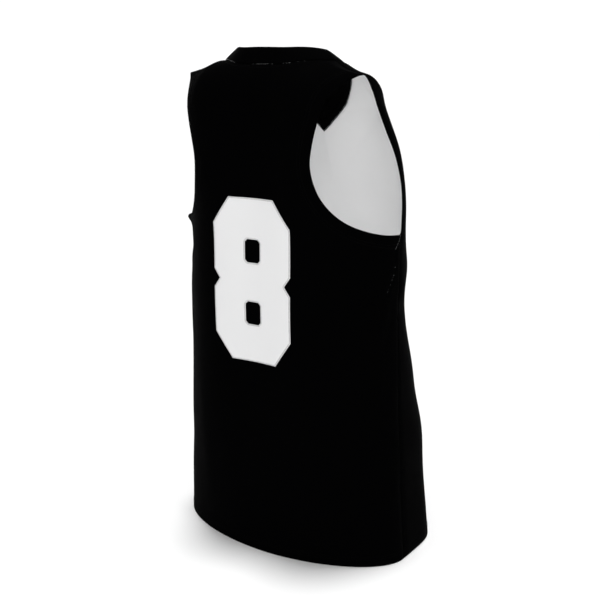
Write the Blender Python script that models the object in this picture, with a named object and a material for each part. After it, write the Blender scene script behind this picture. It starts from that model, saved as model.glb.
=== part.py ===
"""Sleeveless V-neck volleyball jersey, empty but filled out as if it were worn.

Metres, +Z up.  The front faces -Y, the back +Y, and the wearer's right is -X.
The origin lies midway between the neck ends of the two shoulder seams, where
the wearer's shoulders carry the garment.

The cloth is four cut pieces: a front panel, a back panel, a neckband and the
number on the back.  Each is a closed wall.  The outer points of both panels lie
on one body form, worked out from the sections, edges and folds tabled below.
"""

import math

import bmesh
import bpy
import numpy as np

# ---------------------------------------------------------------- driving sizes
CLOTH = 0.0016              # wall of the jersey knit
BAND_CLOTH = 0.0022         # the neckband is rib folded double
BAND_WIDTH = 0.0195         # seam to folded edge of the neckband
NUMBER_CLOTH = 0.0010       # applied number
GAP = 0.0003                # clear gap where two pieces meet

HEM_HEIGHT = -0.623
UNDERARM_HEIGHT = -0.202
UNDERARM_DIP = 0.022        # how far the rows dip towards the underarm
ROW_DIP_POWER = 3.0         # above 1 keeps that dip near the underarm's height
ROW_HOOK = 0.120            # upward slope with which the rows meet the armhole's bottom
ROW_HOOK_END = 0.45         # share of the armhole's length where that slope has faded

NECK_HALF = 0.0770          # neck end of a shoulder seam (height 0)
SHOULDER_HALF = 0.1215      # armhole end of a shoulder seam
SHOULDER_DROP = 0.0150      # its height below the neck end
SHOULDER_SAG = 0.0018       # how far the seam sags between its ends
SHOULDER_BACK = 0.0160      # how far it lies behind the neck end
NECK_RISE = 0.0092          # the form goes on rising this much towards the neck's middle

# How the form rounds over the shoulders: height of the round at the neck, at the
# shoulder's end, and its power.
BACK_ROUND = (0.056, 0.053, 2.10)
FRONT_ROUND = (0.180, 0.008, 1.95)
SHOULDER_BOW = 1.8          # the seam runs backwards early, then straight out

BODY_ROWS = 16              # rows of points from hem to underarm
BODY_ROW_CROWDING = 1.45    # above 1 crowds those rows towards the underarm
YOKE_ROWS = 22              # rows of points from underarm to shoulder
NECK_COLUMNS = 9            # columns from the centre to the neck end of the shoulder seam
STRAP_COLUMNS = 5           # columns along the shoulder seam

# Half sections of the body form, one row for each height.  From the row above the
# underarm (-0.2020) down, both tables hold the same half_width and side_y, because
# the panels meet there.
# height, half_width, side_y, middle_y, power, blade
BACK_SECTIONS = (
    (-0.0150, 0.1500, -0.040, 0.060, 2.10, 0.024),
    (-0.0600, 0.1500, -0.040, 0.060, 2.10, 0.024),
    (-0.1100, 0.1500, -0.040, 0.060, 2.00, 0.021),
    (-0.1400, 0.1500, -0.038, 0.060, 2.00, 0.018),
    (-0.1700, 0.1475, -0.037, 0.060, 1.97, 0.015),
    (-0.2020, 0.1490, -0.033, 0.060, 1.93, 0.012),
    (-0.2930, 0.1500, -0.030, 0.060, 1.93, 0.012),
    (-0.3930, 0.1530, -0.027, 0.057, 1.93, 0.010),
    (-0.4930, 0.1590, -0.027, 0.053, 1.91, 0.006),
    (-0.6230, 0.1665, -0.031, 0.050, 1.88, 0.000),
)
FRONT_SECTIONS = (
    (-0.0150, 0.1217, 0.016, -0.102, 2.40, 0.0),
    (-0.0330, 0.1149, -0.017, -0.110, 2.40, 0.0),
    (-0.0530, 0.1073, -0.046, -0.122, 2.40, 0.0),
    (-0.0800, 0.1190, -0.046, -0.120, 2.30, 0.0),
    (-0.1100, 0.1320, -0.047, -0.120, 2.10, 0.0),
    (-0.1400, 0.1410, -0.045, -0.126, 1.90, 0.0),
    (-0.1700, 0.1475, -0.037, -0.136, 1.84, 0.0),
    (-0.2020, 0.1490, -0.033, -0.144, 1.84, 0.0),
    (-0.2930, 0.1500, -0.030, -0.143, 1.90, 0.0),
    (-0.3930, 0.1530, -0.027, -0.160, 2.25, 0.0),
    (-0.4930, 0.1590, -0.027, -0.175, 2.75, 0.0),
    (-0.6230, 0.1665, -0.031, -0.180, 3.20, 0.0),
)

# Armhole edges from the underarm up; the shoulder's end closes them.  The turn goes
# round the half section, from 0 at the panel's middle to 90 degrees at its side.
# turn, height
BACK_ARMHOLE = (
    (90.0, -0.2020),
    (73.3, -0.1994),
    (60.0, -0.1930),
    (49.5, -0.1824),
    (41.4, -0.1657),
    (35.5, -0.1437),
    (33.2, -0.1180),
    (34.2, -0.0915),
    (36.5, -0.0655),
    (39.5, -0.0408),
    (45.2, -0.0248),
)
FRONT_ARMHOLE = (
    (90.0, -0.2020),
    (88.3, -0.1975),
    (87.3, -0.1895),
    (86.9, -0.1790),
    (86.4, -0.1670),
    (86.4, -0.1550),
    (86.8, -0.1400),
    (88.0, -0.1200),
    (88.8, -0.0980),
    (89.0, -0.0740),
    (89.0, -0.0500),
    (88.7, -0.0300),
)

# Neck seams from the centre to the shoulder seam: half_width, height.
BACK_NECK = (
    (0.0000, -0.0046),
    (0.0300, -0.0038),
    (0.0600, 0.0000),
    (0.0770, 0.0000),
)
FRONT_NECK = (
    (0.0000, -0.0790),
    (0.0300, -0.0520),
    (0.0550, -0.0290),
    (0.0705, -0.0120),
    (0.0770, 0.0000),
)
# How far the band stands off the panel's own slope, in degrees, centre to shoulder.
BACK_BAND_LIFT = (47.0, 42.0, 30.0)
FRONT_BAND_LIFT = (4.0, 18.0, 30.0)

# Soft folds, as swells of the form: angle round the body from the centre back
# (degrees, wearer's left positive), height, half_angle, half_height, lean, depth.
FOLDS = (
    (90.0, -0.2045, 17.0, 0.0055, 0.0, 0.0170),
    (-90.0, -0.204, 9.0, 0.012, 0.0, 0.0010),
    (-110.0, -0.095, 14.0, 0.030, 0.0, 0.0018),
    (-111.0, -0.140, 9.0, 0.040, 0.0, 0.0016),
    (112.0, -0.160, 8.0, 0.050, 0.0, 0.0022),
    (-122.0, -0.250, 24.0, 0.026, 0.0, 0.0041),
    (-112.0, -0.385, 22.0, 0.050, 0.0, 0.0044),
    (-112.0, -0.470, 20.0, 0.045, 0.0, 0.0051),
    (124.0, -0.242, 22.0, 0.024, 0.0, 0.0028),
    (116.0, -0.312, 26.0, 0.032, 0.0, -0.0030),
    (62.0, -0.130, 14.0, 0.030, 0.0, -0.0031),
    (62.0, -0.235, 16.0, 0.020, 0.0, -0.0012),
    (60.0, -0.280, 18.0, 0.022, 0.0, 0.0008),
    (66.0, -0.505, 14.0, 0.030, 0.0, -0.0010),
    (-106.0, -0.600, 12.0, 0.100, 0.0, 0.0050),
    (108.0, -0.585, 12.0, 0.110, 0.0, 0.0030),
)


# ---------------------------------------------------------------- small helpers
def through(knots, values, at):
    """Smooth curve through the values given at rising knots, read at `at`."""
    knots = np.asarray(knots, float)
    values = np.asarray(values, float)
    steps = np.diff(knots)
    slopes = np.diff(values) / steps
    tangents = np.concatenate(([slopes[0]], (slopes[1:] + slopes[:-1]) / 2.0, [slopes[-1]]))
    at = np.clip(np.asarray(at, float), knots[0], knots[-1])
    index = np.clip(np.searchsorted(knots, at, side="right") - 1, 0, len(steps) - 1)
    width = steps[index]
    t = (at - knots[index]) / width
    return (
        values[index] * (1 + 2 * t) * (1 - t) ** 2
        + tangents[index] * width * t * (1 - t) ** 2
        + values[index + 1] * t ** 2 * (3 - 2 * t)
        - tangents[index + 1] * width * t ** 2 * (1 - t)
    )


def along(points, fractions):
    """Points of a smooth curve through `points`, read at fractions of its length."""
    points = np.asarray(points, float)
    chords = np.linalg.norm(np.diff(points, axis=0), axis=1)
    knots = np.concatenate(([0.0], np.cumsum(chords)))
    fine = np.linspace(0.0, knots[-1], 400)
    curve = np.stack([through(knots, points[:, k], fine) for k in range(points.shape[1])], 1)
    return evenly(curve, fractions)


def evenly(curve, fractions):
    """Points of a fine polyline, read at fractions of its length."""
    lengths = np.concatenate(([0.0], np.cumsum(np.linalg.norm(np.diff(curve, axis=0), axis=1))))
    wanted = np.asarray(fractions, float) * lengths[-1]
    return np.stack([np.interp(wanted, lengths, curve[:, k]) for k in range(curve.shape[1])], 1)


def unit(vectors):
    """The same vectors, one unit long."""
    return vectors / np.linalg.norm(vectors, axis=-1, keepdims=True)


# ---------------------------------------------------------------- body form
HEIGHT, HALF_WIDTH, SIDE_Y, MIDDLE_Y, POWER, BLADE = range(6)


def shoulder_line(x):
    """Depth and height of the form's ridge along the shoulders."""
    past_neck = np.abs(x) - NECK_HALF
    seam = np.clip(past_neck / (SHOULDER_HALF - NECK_HALF), 0.0, 1.0)
    inside = np.clip(-past_neck / NECK_HALF, 0.0, 1.0)
    depth = SHOULDER_BACK * (1.0 - (1.0 - seam) ** SHOULDER_BOW)
    fall = SHOULDER_DROP * seam + SHOULDER_SAG * np.sin(math.pi * seam)
    return depth, NECK_RISE * inside - fall


def rounded(flat, x, z, rounding):
    """Carry a flat face over the shoulder, from its full depth to the ridge."""
    neck_reach, shoulder_reach, power = rounding
    reach = neck_reach + (shoulder_reach - neck_reach) * np.clip(np.abs(x) / SHOULDER_HALF, 0, 1)
    ridge_y, ridge_z = shoulder_line(x)
    below = np.clip((ridge_z - z) / reach, 0.0, 1.0)
    share = (1.0 - (1.0 - below) ** power) ** (1.0 / power)
    return ridge_y + (flat - ridge_y) * share


class Side:
    """The front or the back: its half of the body form and its edges."""

    def __init__(self, name, sections, rounding, armhole, neck, lift, facing):
        self.name = name
        self.sections = np.array(sorted(sections))
        self.rounding = rounding
        self.armhole = armhole
        self.neck = neck
        self.lift = lift
        self.facing = facing        # +1 where the panel faces +Y, -1 where it faces -Y

    def size(self, column, z):
        """One column of the section table, read at height z."""
        return through(self.sections[:, HEIGHT], self.sections[:, column], z)

    def turn(self, x, z):
        """Angle round the half section from its middle (0) to its side (pi / 2)."""
        across = np.clip(np.abs(x) / self.size(HALF_WIDTH, z), 0.0, 1.0)
        return np.arcsin(across ** (self.size(POWER, z) / 2.0))

    def width(self, turn, z):
        """Half width reached at an angle round the half section."""
        return self.size(HALF_WIDTH, z) * np.sin(turn) ** (2.0 / self.size(POWER, z))

    def depth(self, x, z):
        """Depth (y) of the form at half width x and height z."""
        across = np.clip(np.abs(x) / self.size(HALF_WIDTH, z), 0.0, 1.0)
        power = self.size(POWER, z)
        side = self.size(SIDE_Y, z)
        flat = side + (self.size(MIDDLE_Y, z) - side) * (1.0 - across ** power) ** (1.0 / power)
        flat = flat + self.size(BLADE, z) * np.sin(math.pi * across) ** 2
        return rounded(flat, x, z, self.rounding)

    def neck_points(self):
        """Half of the neck seam, from the centre to the shoulder seam."""
        flat = along(self.neck, np.linspace(0.0, 1.0, 200))
        curve = np.stack([flat[:, 0], self.depth(flat[:, 0], flat[:, 1]), flat[:, 1]], 1)
        return evenly(curve, np.linspace(0.0, 1.0, NECK_COLUMNS + 1))

    def top_points(self):
        """Half of the top edge: the neck seam, then the shoulder seam."""
        x = np.linspace(NECK_HALF, SHOULDER_HALF, STRAP_COLUMNS + 1)[1:]
        y, z = shoulder_line(x)
        return np.concatenate([self.neck_points(), np.stack([x, y, z], 1)])

    def form_points(self, turn, z):
        """Points of the form at angles round the half section and heights."""
        x = self.width(turn, z)
        return np.stack([x, self.depth(x, z), z], -1)

    def armhole_points(self, fractions):
        """The armhole edge at fractions of its length, from the underarm up."""
        tip = (math.degrees(float(self.turn(SHOULDER_HALF, -SHOULDER_DROP))), -SHOULDER_DROP)
        turn, z = np.array(self.armhole + (tip,)).T
        turn = np.radians(turn)
        chords = np.linalg.norm(np.diff(self.form_points(turn, z), axis=0), axis=1)
        knots = np.concatenate(([0.0], np.cumsum(chords)))
        fine = np.linspace(0.0, knots[-1], 400)
        curve = self.form_points(through(knots, turn, fine), through(knots, z, fine))
        return evenly(curve, fractions)

    def centre_points(self, low, high, fractions):
        """The centre line between two heights, at fractions of its length."""
        z = np.linspace(low, high, 200)
        curve = np.stack([np.zeros_like(z), self.depth(np.zeros_like(z), z), z], 1)
        return evenly(curve, fractions)


BACK = Side("back_panel", BACK_SECTIONS, BACK_ROUND, BACK_ARMHOLE, BACK_NECK,
            BACK_BAND_LIFT, 1.0)
FRONT = Side("front_panel", FRONT_SECTIONS, FRONT_ROUND, FRONT_ARMHOLE, FRONT_NECK,
             FRONT_BAND_LIFT, -1.0)


# ---------------------------------------------------------------- panel points
def half_rows(side):
    """Points of the panel's wearer's-left half: rows from hem to top, centre to edge."""
    top = side.top_points()
    top_turn = side.turn(top[:, 0], top[:, 2])
    strap_share = top_turn / top_turn[-1]
    even_share = np.linspace(0.0, 1.0, len(top))

    left = np.linspace(1.0, 0.0, BODY_ROWS + 1) ** BODY_ROW_CROWDING
    body_z = UNDERARM_HEIGHT + (HEM_HEIGHT - UNDERARM_HEIGHT) * left[:-1]
    climbed = 1.0 - left[:-1]
    body_centre_z = body_z + UNDERARM_DIP * climbed ** ROW_DIP_POWER

    climb = np.linspace(0.0, 1.0, YOKE_ROWS + 1)
    edge = side.armhole_points(climb)
    centre = side.centre_points(UNDERARM_HEIGHT + UNDERARM_DIP, top[0, 2], climb)

    edge_z = np.concatenate([body_z, edge[:, 2]])
    centre_z = np.concatenate([body_centre_z, centre[:, 2]])
    edge_turn = np.concatenate([
        np.full(BODY_ROWS, math.pi / 2.0),
        side.turn(edge[:, 0], edge[:, 2]),
    ])
    rise = np.linspace(0.0, 1.0, len(edge_z))[:, None]
    share = even_share + (strap_share - even_share) * rise
    turn = share * edge_turn[:, None]
    z = centre_z[:, None] + (edge_z - centre_z)[:, None] * share * share * (3.0 - 2.0 * share)
    faded = np.clip(1.0 - climb / ROW_HOOK_END, 0.0, 1.0) ** 2
    hook = ROW_HOOK * np.concatenate([climbed ** ROW_DIP_POWER, faded])
    z = z - hook[:, None] * (1.0 - share) * share ** 4
    settle = np.concatenate([np.zeros(BODY_ROWS), climb ** 2])[:, None]
    turn = turn + settle * (top_turn - turn[-1])
    z = z + settle * (top[:, 2] - z[-1])
    rows = side.form_points(turn, z)
    rows[-1] = top
    return rows


def girth_angle(side, points):
    """Angle round the body from the centre back, in degrees, left positive."""
    angle = np.degrees(side.turn(points[..., 0], points[..., 2]))
    if side is FRONT:
        angle = 180.0 - angle
    return np.sign(points[..., 0]) * angle


def swell(angle, z):
    """Sum of the soft folds at an angle round the body and a height."""
    total = np.zeros_like(z)
    for fold_angle, fold_z, half_angle, half_height, lean, depth in FOLDS:
        away = angle - fold_angle - lean * (z - fold_z)
        away = (away + 180.0) % 360.0 - 180.0
        total += depth * np.exp(-(away / half_angle) ** 2 - ((z - fold_z) / half_height) ** 2)
    return total


def grid_normals(grid, facing):
    """Outward unit normals of a grid of points (rows up, columns towards +X)."""
    across = np.gradient(grid, axis=1)
    up = np.gradient(grid, axis=0)
    return unit(np.cross(up, across) * facing)


def panel_skins(side):
    """Outer and inner points of a whole panel, rows up and columns towards +X."""
    half = half_rows(side)
    mirrored = half[:, :0:-1] * np.array([-1.0, 1.0, 1.0])
    outer = np.concatenate([mirrored, half], axis=1)
    normals = edge_normals(side, outer, grid_normals(outer, side.facing))
    outer = outer + swell(girth_angle(side, outer), outer[..., 2])[..., None] * normals
    normals = edge_normals(side, outer, grid_normals(outer, side.facing))
    inner = outer - CLOTH * normals
    neck = seam_frames(side)
    columns = NECK_COLUMNS + STRAP_COLUMNS
    for k in range(NECK_COLUMNS + 1):
        inner[-1, columns + k] = neck["seam"][k] - CLOTH * neck["mitre"][k]
        inner[-1, columns - k] = inner[-1, columns + k] * np.array([-1.0, 1.0, 1.0])
    return part_at_seams(side, outer), part_at_seams(side, inner)


def part_at_seams(side, skin):
    """Draw a panel back from its side and shoulder seams by half the gap."""
    apart = side.facing * GAP / 2.0
    skin = skin.copy()
    skin[: BODY_ROWS + 1, [0, -1], 1] += apart
    skin[-1, : STRAP_COLUMNS + 1, 1] += apart
    skin[-1, -STRAP_COLUMNS - 1:, 1] += apart
    return skin


def edge_normals(side, grid, normals):
    """Turn the normals along the seams into the plane that both panels share."""
    depth_axis = np.array([0.0, 1.0, 0.0])
    for column, outward in ((0, -1.0), (-1, 1.0)):
        up = np.gradient(grid[: BODY_ROWS + 1, column], axis=0)
        normals[: BODY_ROWS + 1, column] = unit(np.cross(depth_axis, up) * outward)
    for strap in (slice(0, STRAP_COLUMNS + 1), slice(-STRAP_COLUMNS - 1, None)):
        run = np.gradient(grid[-1, strap], axis=0)
        normals[-1, strap] = unit(np.cross(run, depth_axis))
    return normals


# ---------------------------------------------------------------- neck seam
def seam_frames(side):
    """The neck seam's points, its band directions and its mitres, centre to shoulder."""
    seam = side.neck_points()
    tangent = unit(np.gradient(seam, axis=0))
    step = 1e-4
    x, z = seam[:, 0], seam[:, 2]
    slope_x = (side.depth(x + step, z) - side.depth(x, z)) / step
    slope_z = (side.depth(x, z) - side.depth(x, z - step)) / step
    normal = unit(np.stack([-slope_x, np.ones_like(x), -slope_z], 1) * side.facing)
    ridge_run = shoulder_point(NECK_HALF + step) - shoulder_point(NECK_HALF)
    normal[-1] = unit(np.cross(ridge_run, np.array([0.0, 1.0, 0.0])))
    normal[-1] *= np.sign(normal[-1, 2])
    inward = unit(np.cross(normal, tangent) * side.facing)
    inward *= np.where(inward[:, 2:] < 0.0, -1.0, 1.0)
    lift = np.radians(np.interp(np.linspace(0, 2, len(seam)), range(3), side.lift))[:, None]
    towards_edge = np.cos(lift) * inward + np.sin(lift) * normal
    band_normal = np.cos(lift) * normal - np.sin(lift) * inward
    mitre = unit(normal + band_normal) / np.cos(lift / 2.0)
    mitre[0, 0] = 0.0
    return {"seam": seam, "edge_run": towards_edge, "mitre": mitre}


def shoulder_point(x):
    """A point of the shoulder ridge."""
    y, z = shoulder_line(x)
    return np.array([x, y, z])


def folded_edge(frames):
    """The band's folded edge, evenly from the centre line to the shoulder seam."""
    edge = frames["seam"] + BAND_WIDTH * frames["edge_run"]
    inside = np.flatnonzero(edge[:, 0] < 0.0)
    first = inside[-1] if len(inside) else 0
    if len(inside):
        share = -edge[first, 0] / (edge[first + 1, 0] - edge[first, 0])
        edge[first] += share * (edge[first + 1] - edge[first])
    edge[first, 0] = 0.0
    return evenly(edge[first:], np.linspace(0.0, 1.0, len(edge)))


def band_loops():
    """Closed loops round the neckband's section, each one right round the neck."""
    back, front = seam_frames(BACK), seam_frames(FRONT)
    at_shoulder = unit(back["edge_run"][-2] + front["edge_run"][-2])
    back["edge_run"][-1] = front["edge_run"][-1] = at_shoulder
    seam = np.concatenate([back["seam"], front["seam"][-2::-1]])
    mitre = np.concatenate([back["mitre"], front["mitre"][-2::-1]])
    edge = np.concatenate([folded_edge(back), folded_edge(front)[-2::-1]])
    joint = NECK_COLUMNS
    mitre[joint] = (back["mitre"][-1] + front["mitre"][-1]) / 2.0
    run = unit(edge - seam)
    normal = unit(np.cross(run, np.gradient(seam, axis=0)))
    normal *= np.sign(np.sum(normal * mitre, axis=1))[:, None]
    normal[0, 0] = normal[-1, 0] = 0.0
    normal = unit(normal)
    shoulder = BAND_CLOTH / 2.0
    loops = (
        seam + GAP * run,
        (seam + edge) / 2.0,
        edge - shoulder * run,
        edge - shoulder * normal,
        edge - shoulder * run - BAND_CLOTH * normal,
        (seam + edge) / 2.0 - BAND_CLOTH * normal,
        seam + GAP * run - BAND_CLOTH * mitre,
    )
    mirror = np.array([-1.0, 1.0, 1.0])
    return [np.concatenate([loop, loop[-2:0:-1] * mirror]) for loop in loops]


# ---------------------------------------------------------------- number
NUMBER_TOP = -0.158
NUMBER_HEIGHT = 0.2032
NUMBER_HALF = 0.0552
CHAMFER = (0.0232, 0.0328)          # cut corners of the figure: across, down
WAIST = (0.0081, 0.0115)            # notch at the figure's waist: depth, half height
WINDOW = (0.0111, 0.0143)           # half width and half height of the two openings
WINDOW_CHAMFER = 0.0035
WINDOW_CENTRES = (0.064, 0.141)     # below the top of the figure


def number_outlines():
    """Outer outline and openings of a block eight, as (x, height) loops."""
    across, down = CHAMFER
    depth, half_gap = WAIST
    waist = NUMBER_HEIGHT / 2.0
    right = [
        (NUMBER_HALF - across, 0.0),
        (NUMBER_HALF, down),
        (NUMBER_HALF, waist - half_gap),
        (NUMBER_HALF - depth, waist),
        (NUMBER_HALF, waist + half_gap),
        (NUMBER_HALF, NUMBER_HEIGHT - down),
        (NUMBER_HALF - across, NUMBER_HEIGHT),
    ]
    loops = [right + [(-x, drop) for x, drop in reversed(right)]]
    wide, tall = WINDOW
    cut = WINDOW_CHAMFER
    for centre in WINDOW_CENTRES:
        corner = [(wide - cut, -tall), (wide, cut - tall), (wide, tall - cut), (wide - cut, tall)]
        window = corner + [(-x, drop) for x, drop in reversed(corner)]
        loops.append([(x, centre + drop) for x, drop in window])
    return [[(x, NUMBER_TOP - drop) for x, drop in loop] for loop in loops]


def bend_columns():
    """Half widths through the figure's own corners, where it may bend."""
    stroke_middle = (WINDOW[0] + NUMBER_HALF - CHAMFER[0]) / 2.0
    half = [WINDOW[0], stroke_middle, NUMBER_HALF - CHAMFER[0], NUMBER_HALF - WAIST[0]]
    return [0.0] + half + [-x for x in half]


def bend_rows():
    """Drops below the figure's top, through its own corners, where it may bend."""
    waist = NUMBER_HEIGHT / 2.0
    upper = [CHAMFER[1] / 2.0, CHAMFER[1], waist - WAIST[1]]
    upper += [WINDOW_CENTRES[0] + side * WINDOW[1] for side in (-1.0, 0.0, 1.0)]
    lower = [NUMBER_HEIGHT - CHAMFER[1] / 2.0, NUMBER_HEIGHT - CHAMFER[1], waist + WAIST[1]]
    lower += [WINDOW_CENTRES[1] + side * WINDOW[1] for side in (-1.0, 0.0, 1.0)]
    return upper + [waist] + lower


def flat_figure():
    """The figure as a flat mesh in the XZ plane, cut along a grid so that it can bend."""
    mesh = bmesh.new()
    edges = []
    for loop in number_outlines():
        ring = [mesh.verts.new((x, 0.0, z)) for x, z in loop]
        edges += [mesh.edges.new((a, b)) for a, b in zip(ring, ring[1:] + ring[:1])]
    bmesh.ops.triangle_fill(mesh, use_beauty=True, use_dissolve=False, edges=edges)
    cuts = [((x, 0, 0), (1, 0, 0)) for x in bend_columns()]
    cuts += [((0, 0, NUMBER_TOP - drop), (0, 0, 1)) for drop in bend_rows()]
    for place, normal in cuts:
        everything = mesh.verts[:] + mesh.edges[:] + mesh.faces[:]
        bmesh.ops.bisect_plane(mesh, geom=everything, plane_co=place, plane_no=normal, dist=1e-6)
    bmesh.ops.remove_doubles(mesh, verts=mesh.verts[:], dist=1e-5)
    bmesh.ops.triangulate(mesh, faces=mesh.faces[:])
    return mesh


def back_skin(x, z, lift):
    """A point of the back panel's outer face, moved out by `lift`."""
    step = 1e-4
    y = BACK.depth(x, z)
    normal = unit(np.array([
        (BACK.depth(x - step, z) - BACK.depth(x + step, z)) / (2 * step),
        1.0,
        (BACK.depth(x, z - step) - BACK.depth(x, z + step)) / (2 * step),
    ]))
    point = np.array([x, y, z])
    fold = swell(girth_angle(BACK, point), np.array(z))
    return point + (fold + lift) * normal


def number_wall():
    """Points and faces of the applied number."""
    flat = flat_figure()
    flat.verts.index_update()
    flat.verts.ensure_lookup_table()
    places = [(vert.co.x, vert.co.z) for vert in flat.verts]
    under = [back_skin(x, z, GAP) for x, z in places]
    over = [back_skin(x, z, GAP + NUMBER_CLOTH) for x, z in places]
    count = len(places)
    faces = []
    for face in flat.faces:
        ring = [vert.index for vert in face.verts]
        if face.normal.y < 0.0:
            ring.reverse()
        faces.append([count + k for k in ring])
        faces.append(ring[::-1])
        for a, b in zip(ring, ring[1:] + ring[:1]):
            if flat.edges.get((flat.verts[a], flat.verts[b])).is_boundary:
                faces.append([a, b, count + b, count + a])
    flat.free()
    return under + over, faces


# ---------------------------------------------------------------- solids
def panel_wall(side):
    """Points and faces of a panel as one closed wall."""
    outer, inner = panel_skins(side)
    rows, columns = outer.shape[:2]
    count = rows * columns
    faces = []
    for i in range(rows - 1):
        for j in range(columns - 1):
            low, high = i * columns + j, (i + 1) * columns + j
            quad = [low, high, high + 1, low + 1]
            faces.append(quad)
            faces.append([count + k for k in reversed(quad)])
    bottom = list(range(columns))
    right = [i * columns + columns - 1 for i in range(rows)]
    top = [(rows - 1) * columns + j for j in reversed(range(columns))]
    left = [i * columns for i in reversed(range(rows))]
    for border in (bottom, right, top, left):
        for a, b in zip(border, border[1:]):
            faces.append([a, b, count + b, count + a])
    if side.facing < 0.0:
        faces = [face[::-1] for face in faces]
    return list(outer.reshape(-1, 3)) + list(inner.reshape(-1, 3)), faces


def band_wall():
    """Points and faces of the neckband as one closed ring."""
    loops = band_loops()
    stations = len(loops[0])
    points = [point for loop in loops for point in loop]
    faces = []
    for i in range(len(loops)):
        here, there = i * stations, ((i + 1) % len(loops)) * stations
        for j in range(stations):
            ahead = (j + 1) % stations
            faces.append([here + j, here + ahead, there + ahead, there + j])
    return points, faces


def material(name, colour, roughness):
    """A plain cloth finish."""
    finish = bpy.data.materials.new(name)
    finish.use_nodes = True
    shader = finish.node_tree.nodes["Principled BSDF"]
    shader.inputs["Base Color"].default_value = (*colour, 1.0)
    shader.inputs["Roughness"].default_value = roughness
    shader.inputs["Metallic"].default_value = 0.0
    return finish


def add_piece(name, wall, finish):
    """One cut piece as an object of its own, its faces pointing out."""
    points, faces = wall
    mesh = bpy.data.meshes.new(name)
    mesh.from_pydata([tuple(map(float, point)) for point in points], [], faces)
    shape = bmesh.new()
    shape.from_mesh(mesh)
    bmesh.ops.recalc_face_normals(shape, faces=shape.faces[:])
    shape.to_mesh(mesh)
    shape.free()
    mesh.shade_smooth()
    mesh.set_sharp_from_angle(angle=math.radians(40.0))
    mesh.materials.append(finish)
    piece = bpy.data.objects.new(name, mesh)
    bpy.context.scene.collection.objects.link(piece)
    return piece


def main():
    """Clear the scene and build the jersey."""
    for old in list(bpy.data.objects):
        bpy.data.objects.remove(old, do_unlink=True)
    jersey_knit = material("jersey_knit", (0.006, 0.006, 0.007), 0.62)
    rib_knit = material("rib_knit", (0.006, 0.006, 0.007), 0.7)
    twill = material("number_twill", (0.80, 0.80, 0.80), 0.55)
    add_piece("front_panel", panel_wall(FRONT), jersey_knit)
    add_piece("back_panel", panel_wall(BACK), jersey_knit)
    add_piece("neckband", band_wall(), rib_knit)
    add_piece("back_number", number_wall(), twill)


main()
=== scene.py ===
"""Looks of a sleeveless V-neck volleyball jersey, empty but filled out as worn.

Metres, +Z up.  The front faces -Y, the back +Y, and the wearer's right is -X.
Both panels are thin shells on one body form; every edge, seam and row of
stitches is worked out from the same form, so they stay together.
"""

from __future__ import annotations

import logging
import math
from collections.abc import Sequence
from dataclasses import dataclass, field
from enum import Enum
from itertools import product
from typing import NamedTuple

import bmesh
import bpy
import numpy as np
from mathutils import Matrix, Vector


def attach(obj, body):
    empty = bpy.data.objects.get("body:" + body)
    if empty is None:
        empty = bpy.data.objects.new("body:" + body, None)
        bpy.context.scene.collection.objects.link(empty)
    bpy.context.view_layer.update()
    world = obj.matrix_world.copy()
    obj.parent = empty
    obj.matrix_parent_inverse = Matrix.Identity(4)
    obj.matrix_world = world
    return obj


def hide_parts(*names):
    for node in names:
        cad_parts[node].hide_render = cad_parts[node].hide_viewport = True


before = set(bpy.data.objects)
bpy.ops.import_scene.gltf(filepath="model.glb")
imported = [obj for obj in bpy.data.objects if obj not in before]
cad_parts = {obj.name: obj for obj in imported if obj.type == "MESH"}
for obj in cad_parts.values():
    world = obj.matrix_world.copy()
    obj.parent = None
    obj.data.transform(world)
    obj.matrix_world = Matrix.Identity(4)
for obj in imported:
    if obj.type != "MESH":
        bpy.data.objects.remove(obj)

log = logging.getLogger("jersey")

MILLIMETRE = 0.001
DEPTH_AXIS = np.array([0.0, 1.0, 0.0])
MIRROR = np.array([-1.0, 1.0, 1.0])
ROOT = "root"
# Points of a finely drawn curve, and of one that is then read evenly.
FINE_POINTS = 400
EVEN_POINTS = 200
# Distance over which a slope is read, in metres.
NUDGE = 1e-4


# ---------------------------------------------------------------- curves
def through(knots: np.ndarray, values: np.ndarray, at: np.ndarray) -> np.ndarray:
    """Smooth curve through values given at rising knots.

    Args:
        knots: Rising places of the values.
        values: Value at each knot.
        at: Places to read.

    Returns:
        The curve's values there.
    """
    knots, values = np.asarray(knots, float), np.asarray(values, float)
    steps = np.diff(knots)
    slopes = np.diff(values) / steps
    tangents = np.concatenate(([slopes[0]], (slopes[1:] + slopes[:-1]) / 2.0, [slopes[-1]]))
    at = np.clip(np.asarray(at, float), knots[0], knots[-1])
    index = np.clip(np.searchsorted(knots, at, side="right") - 1, 0, len(steps) - 1)
    width = steps[index]
    t = (at - knots[index]) / width
    return (
        values[index] * (1 + 2 * t) * (1 - t) ** 2
        + tangents[index] * width * t * (1 - t) ** 2
        + values[index + 1] * t**2 * (3 - 2 * t)
        - tangents[index + 1] * width * t**2 * (1 - t)
    )


def lengths_along(points: np.ndarray, axis: int = 0) -> np.ndarray:
    """Distance of each point of a line or grid from its start, along an axis."""
    gaps = np.linalg.norm(np.diff(points, axis=axis), axis=-1)
    return np.insert(np.cumsum(gaps, axis=axis), 0, 0.0, axis=axis)


def read_off(line: np.ndarray, at: np.ndarray, places: np.ndarray) -> np.ndarray:
    """Points of a line that has its points at rising `at`, read at `places`."""
    return np.stack([np.interp(places, at, line[:, k]) for k in range(line.shape[1])], 1)


def evenly(line: np.ndarray, fractions: np.ndarray) -> np.ndarray:
    """Points of a fine line, read at fractions of its length.

    Args:
        line: Points of the line, one a row.
        fractions: Places from 0 to 1.

    Returns:
        One point for each fraction.
    """
    along = lengths_along(line)
    return read_off(line, along, np.asarray(fractions, float) * along[-1])


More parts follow.
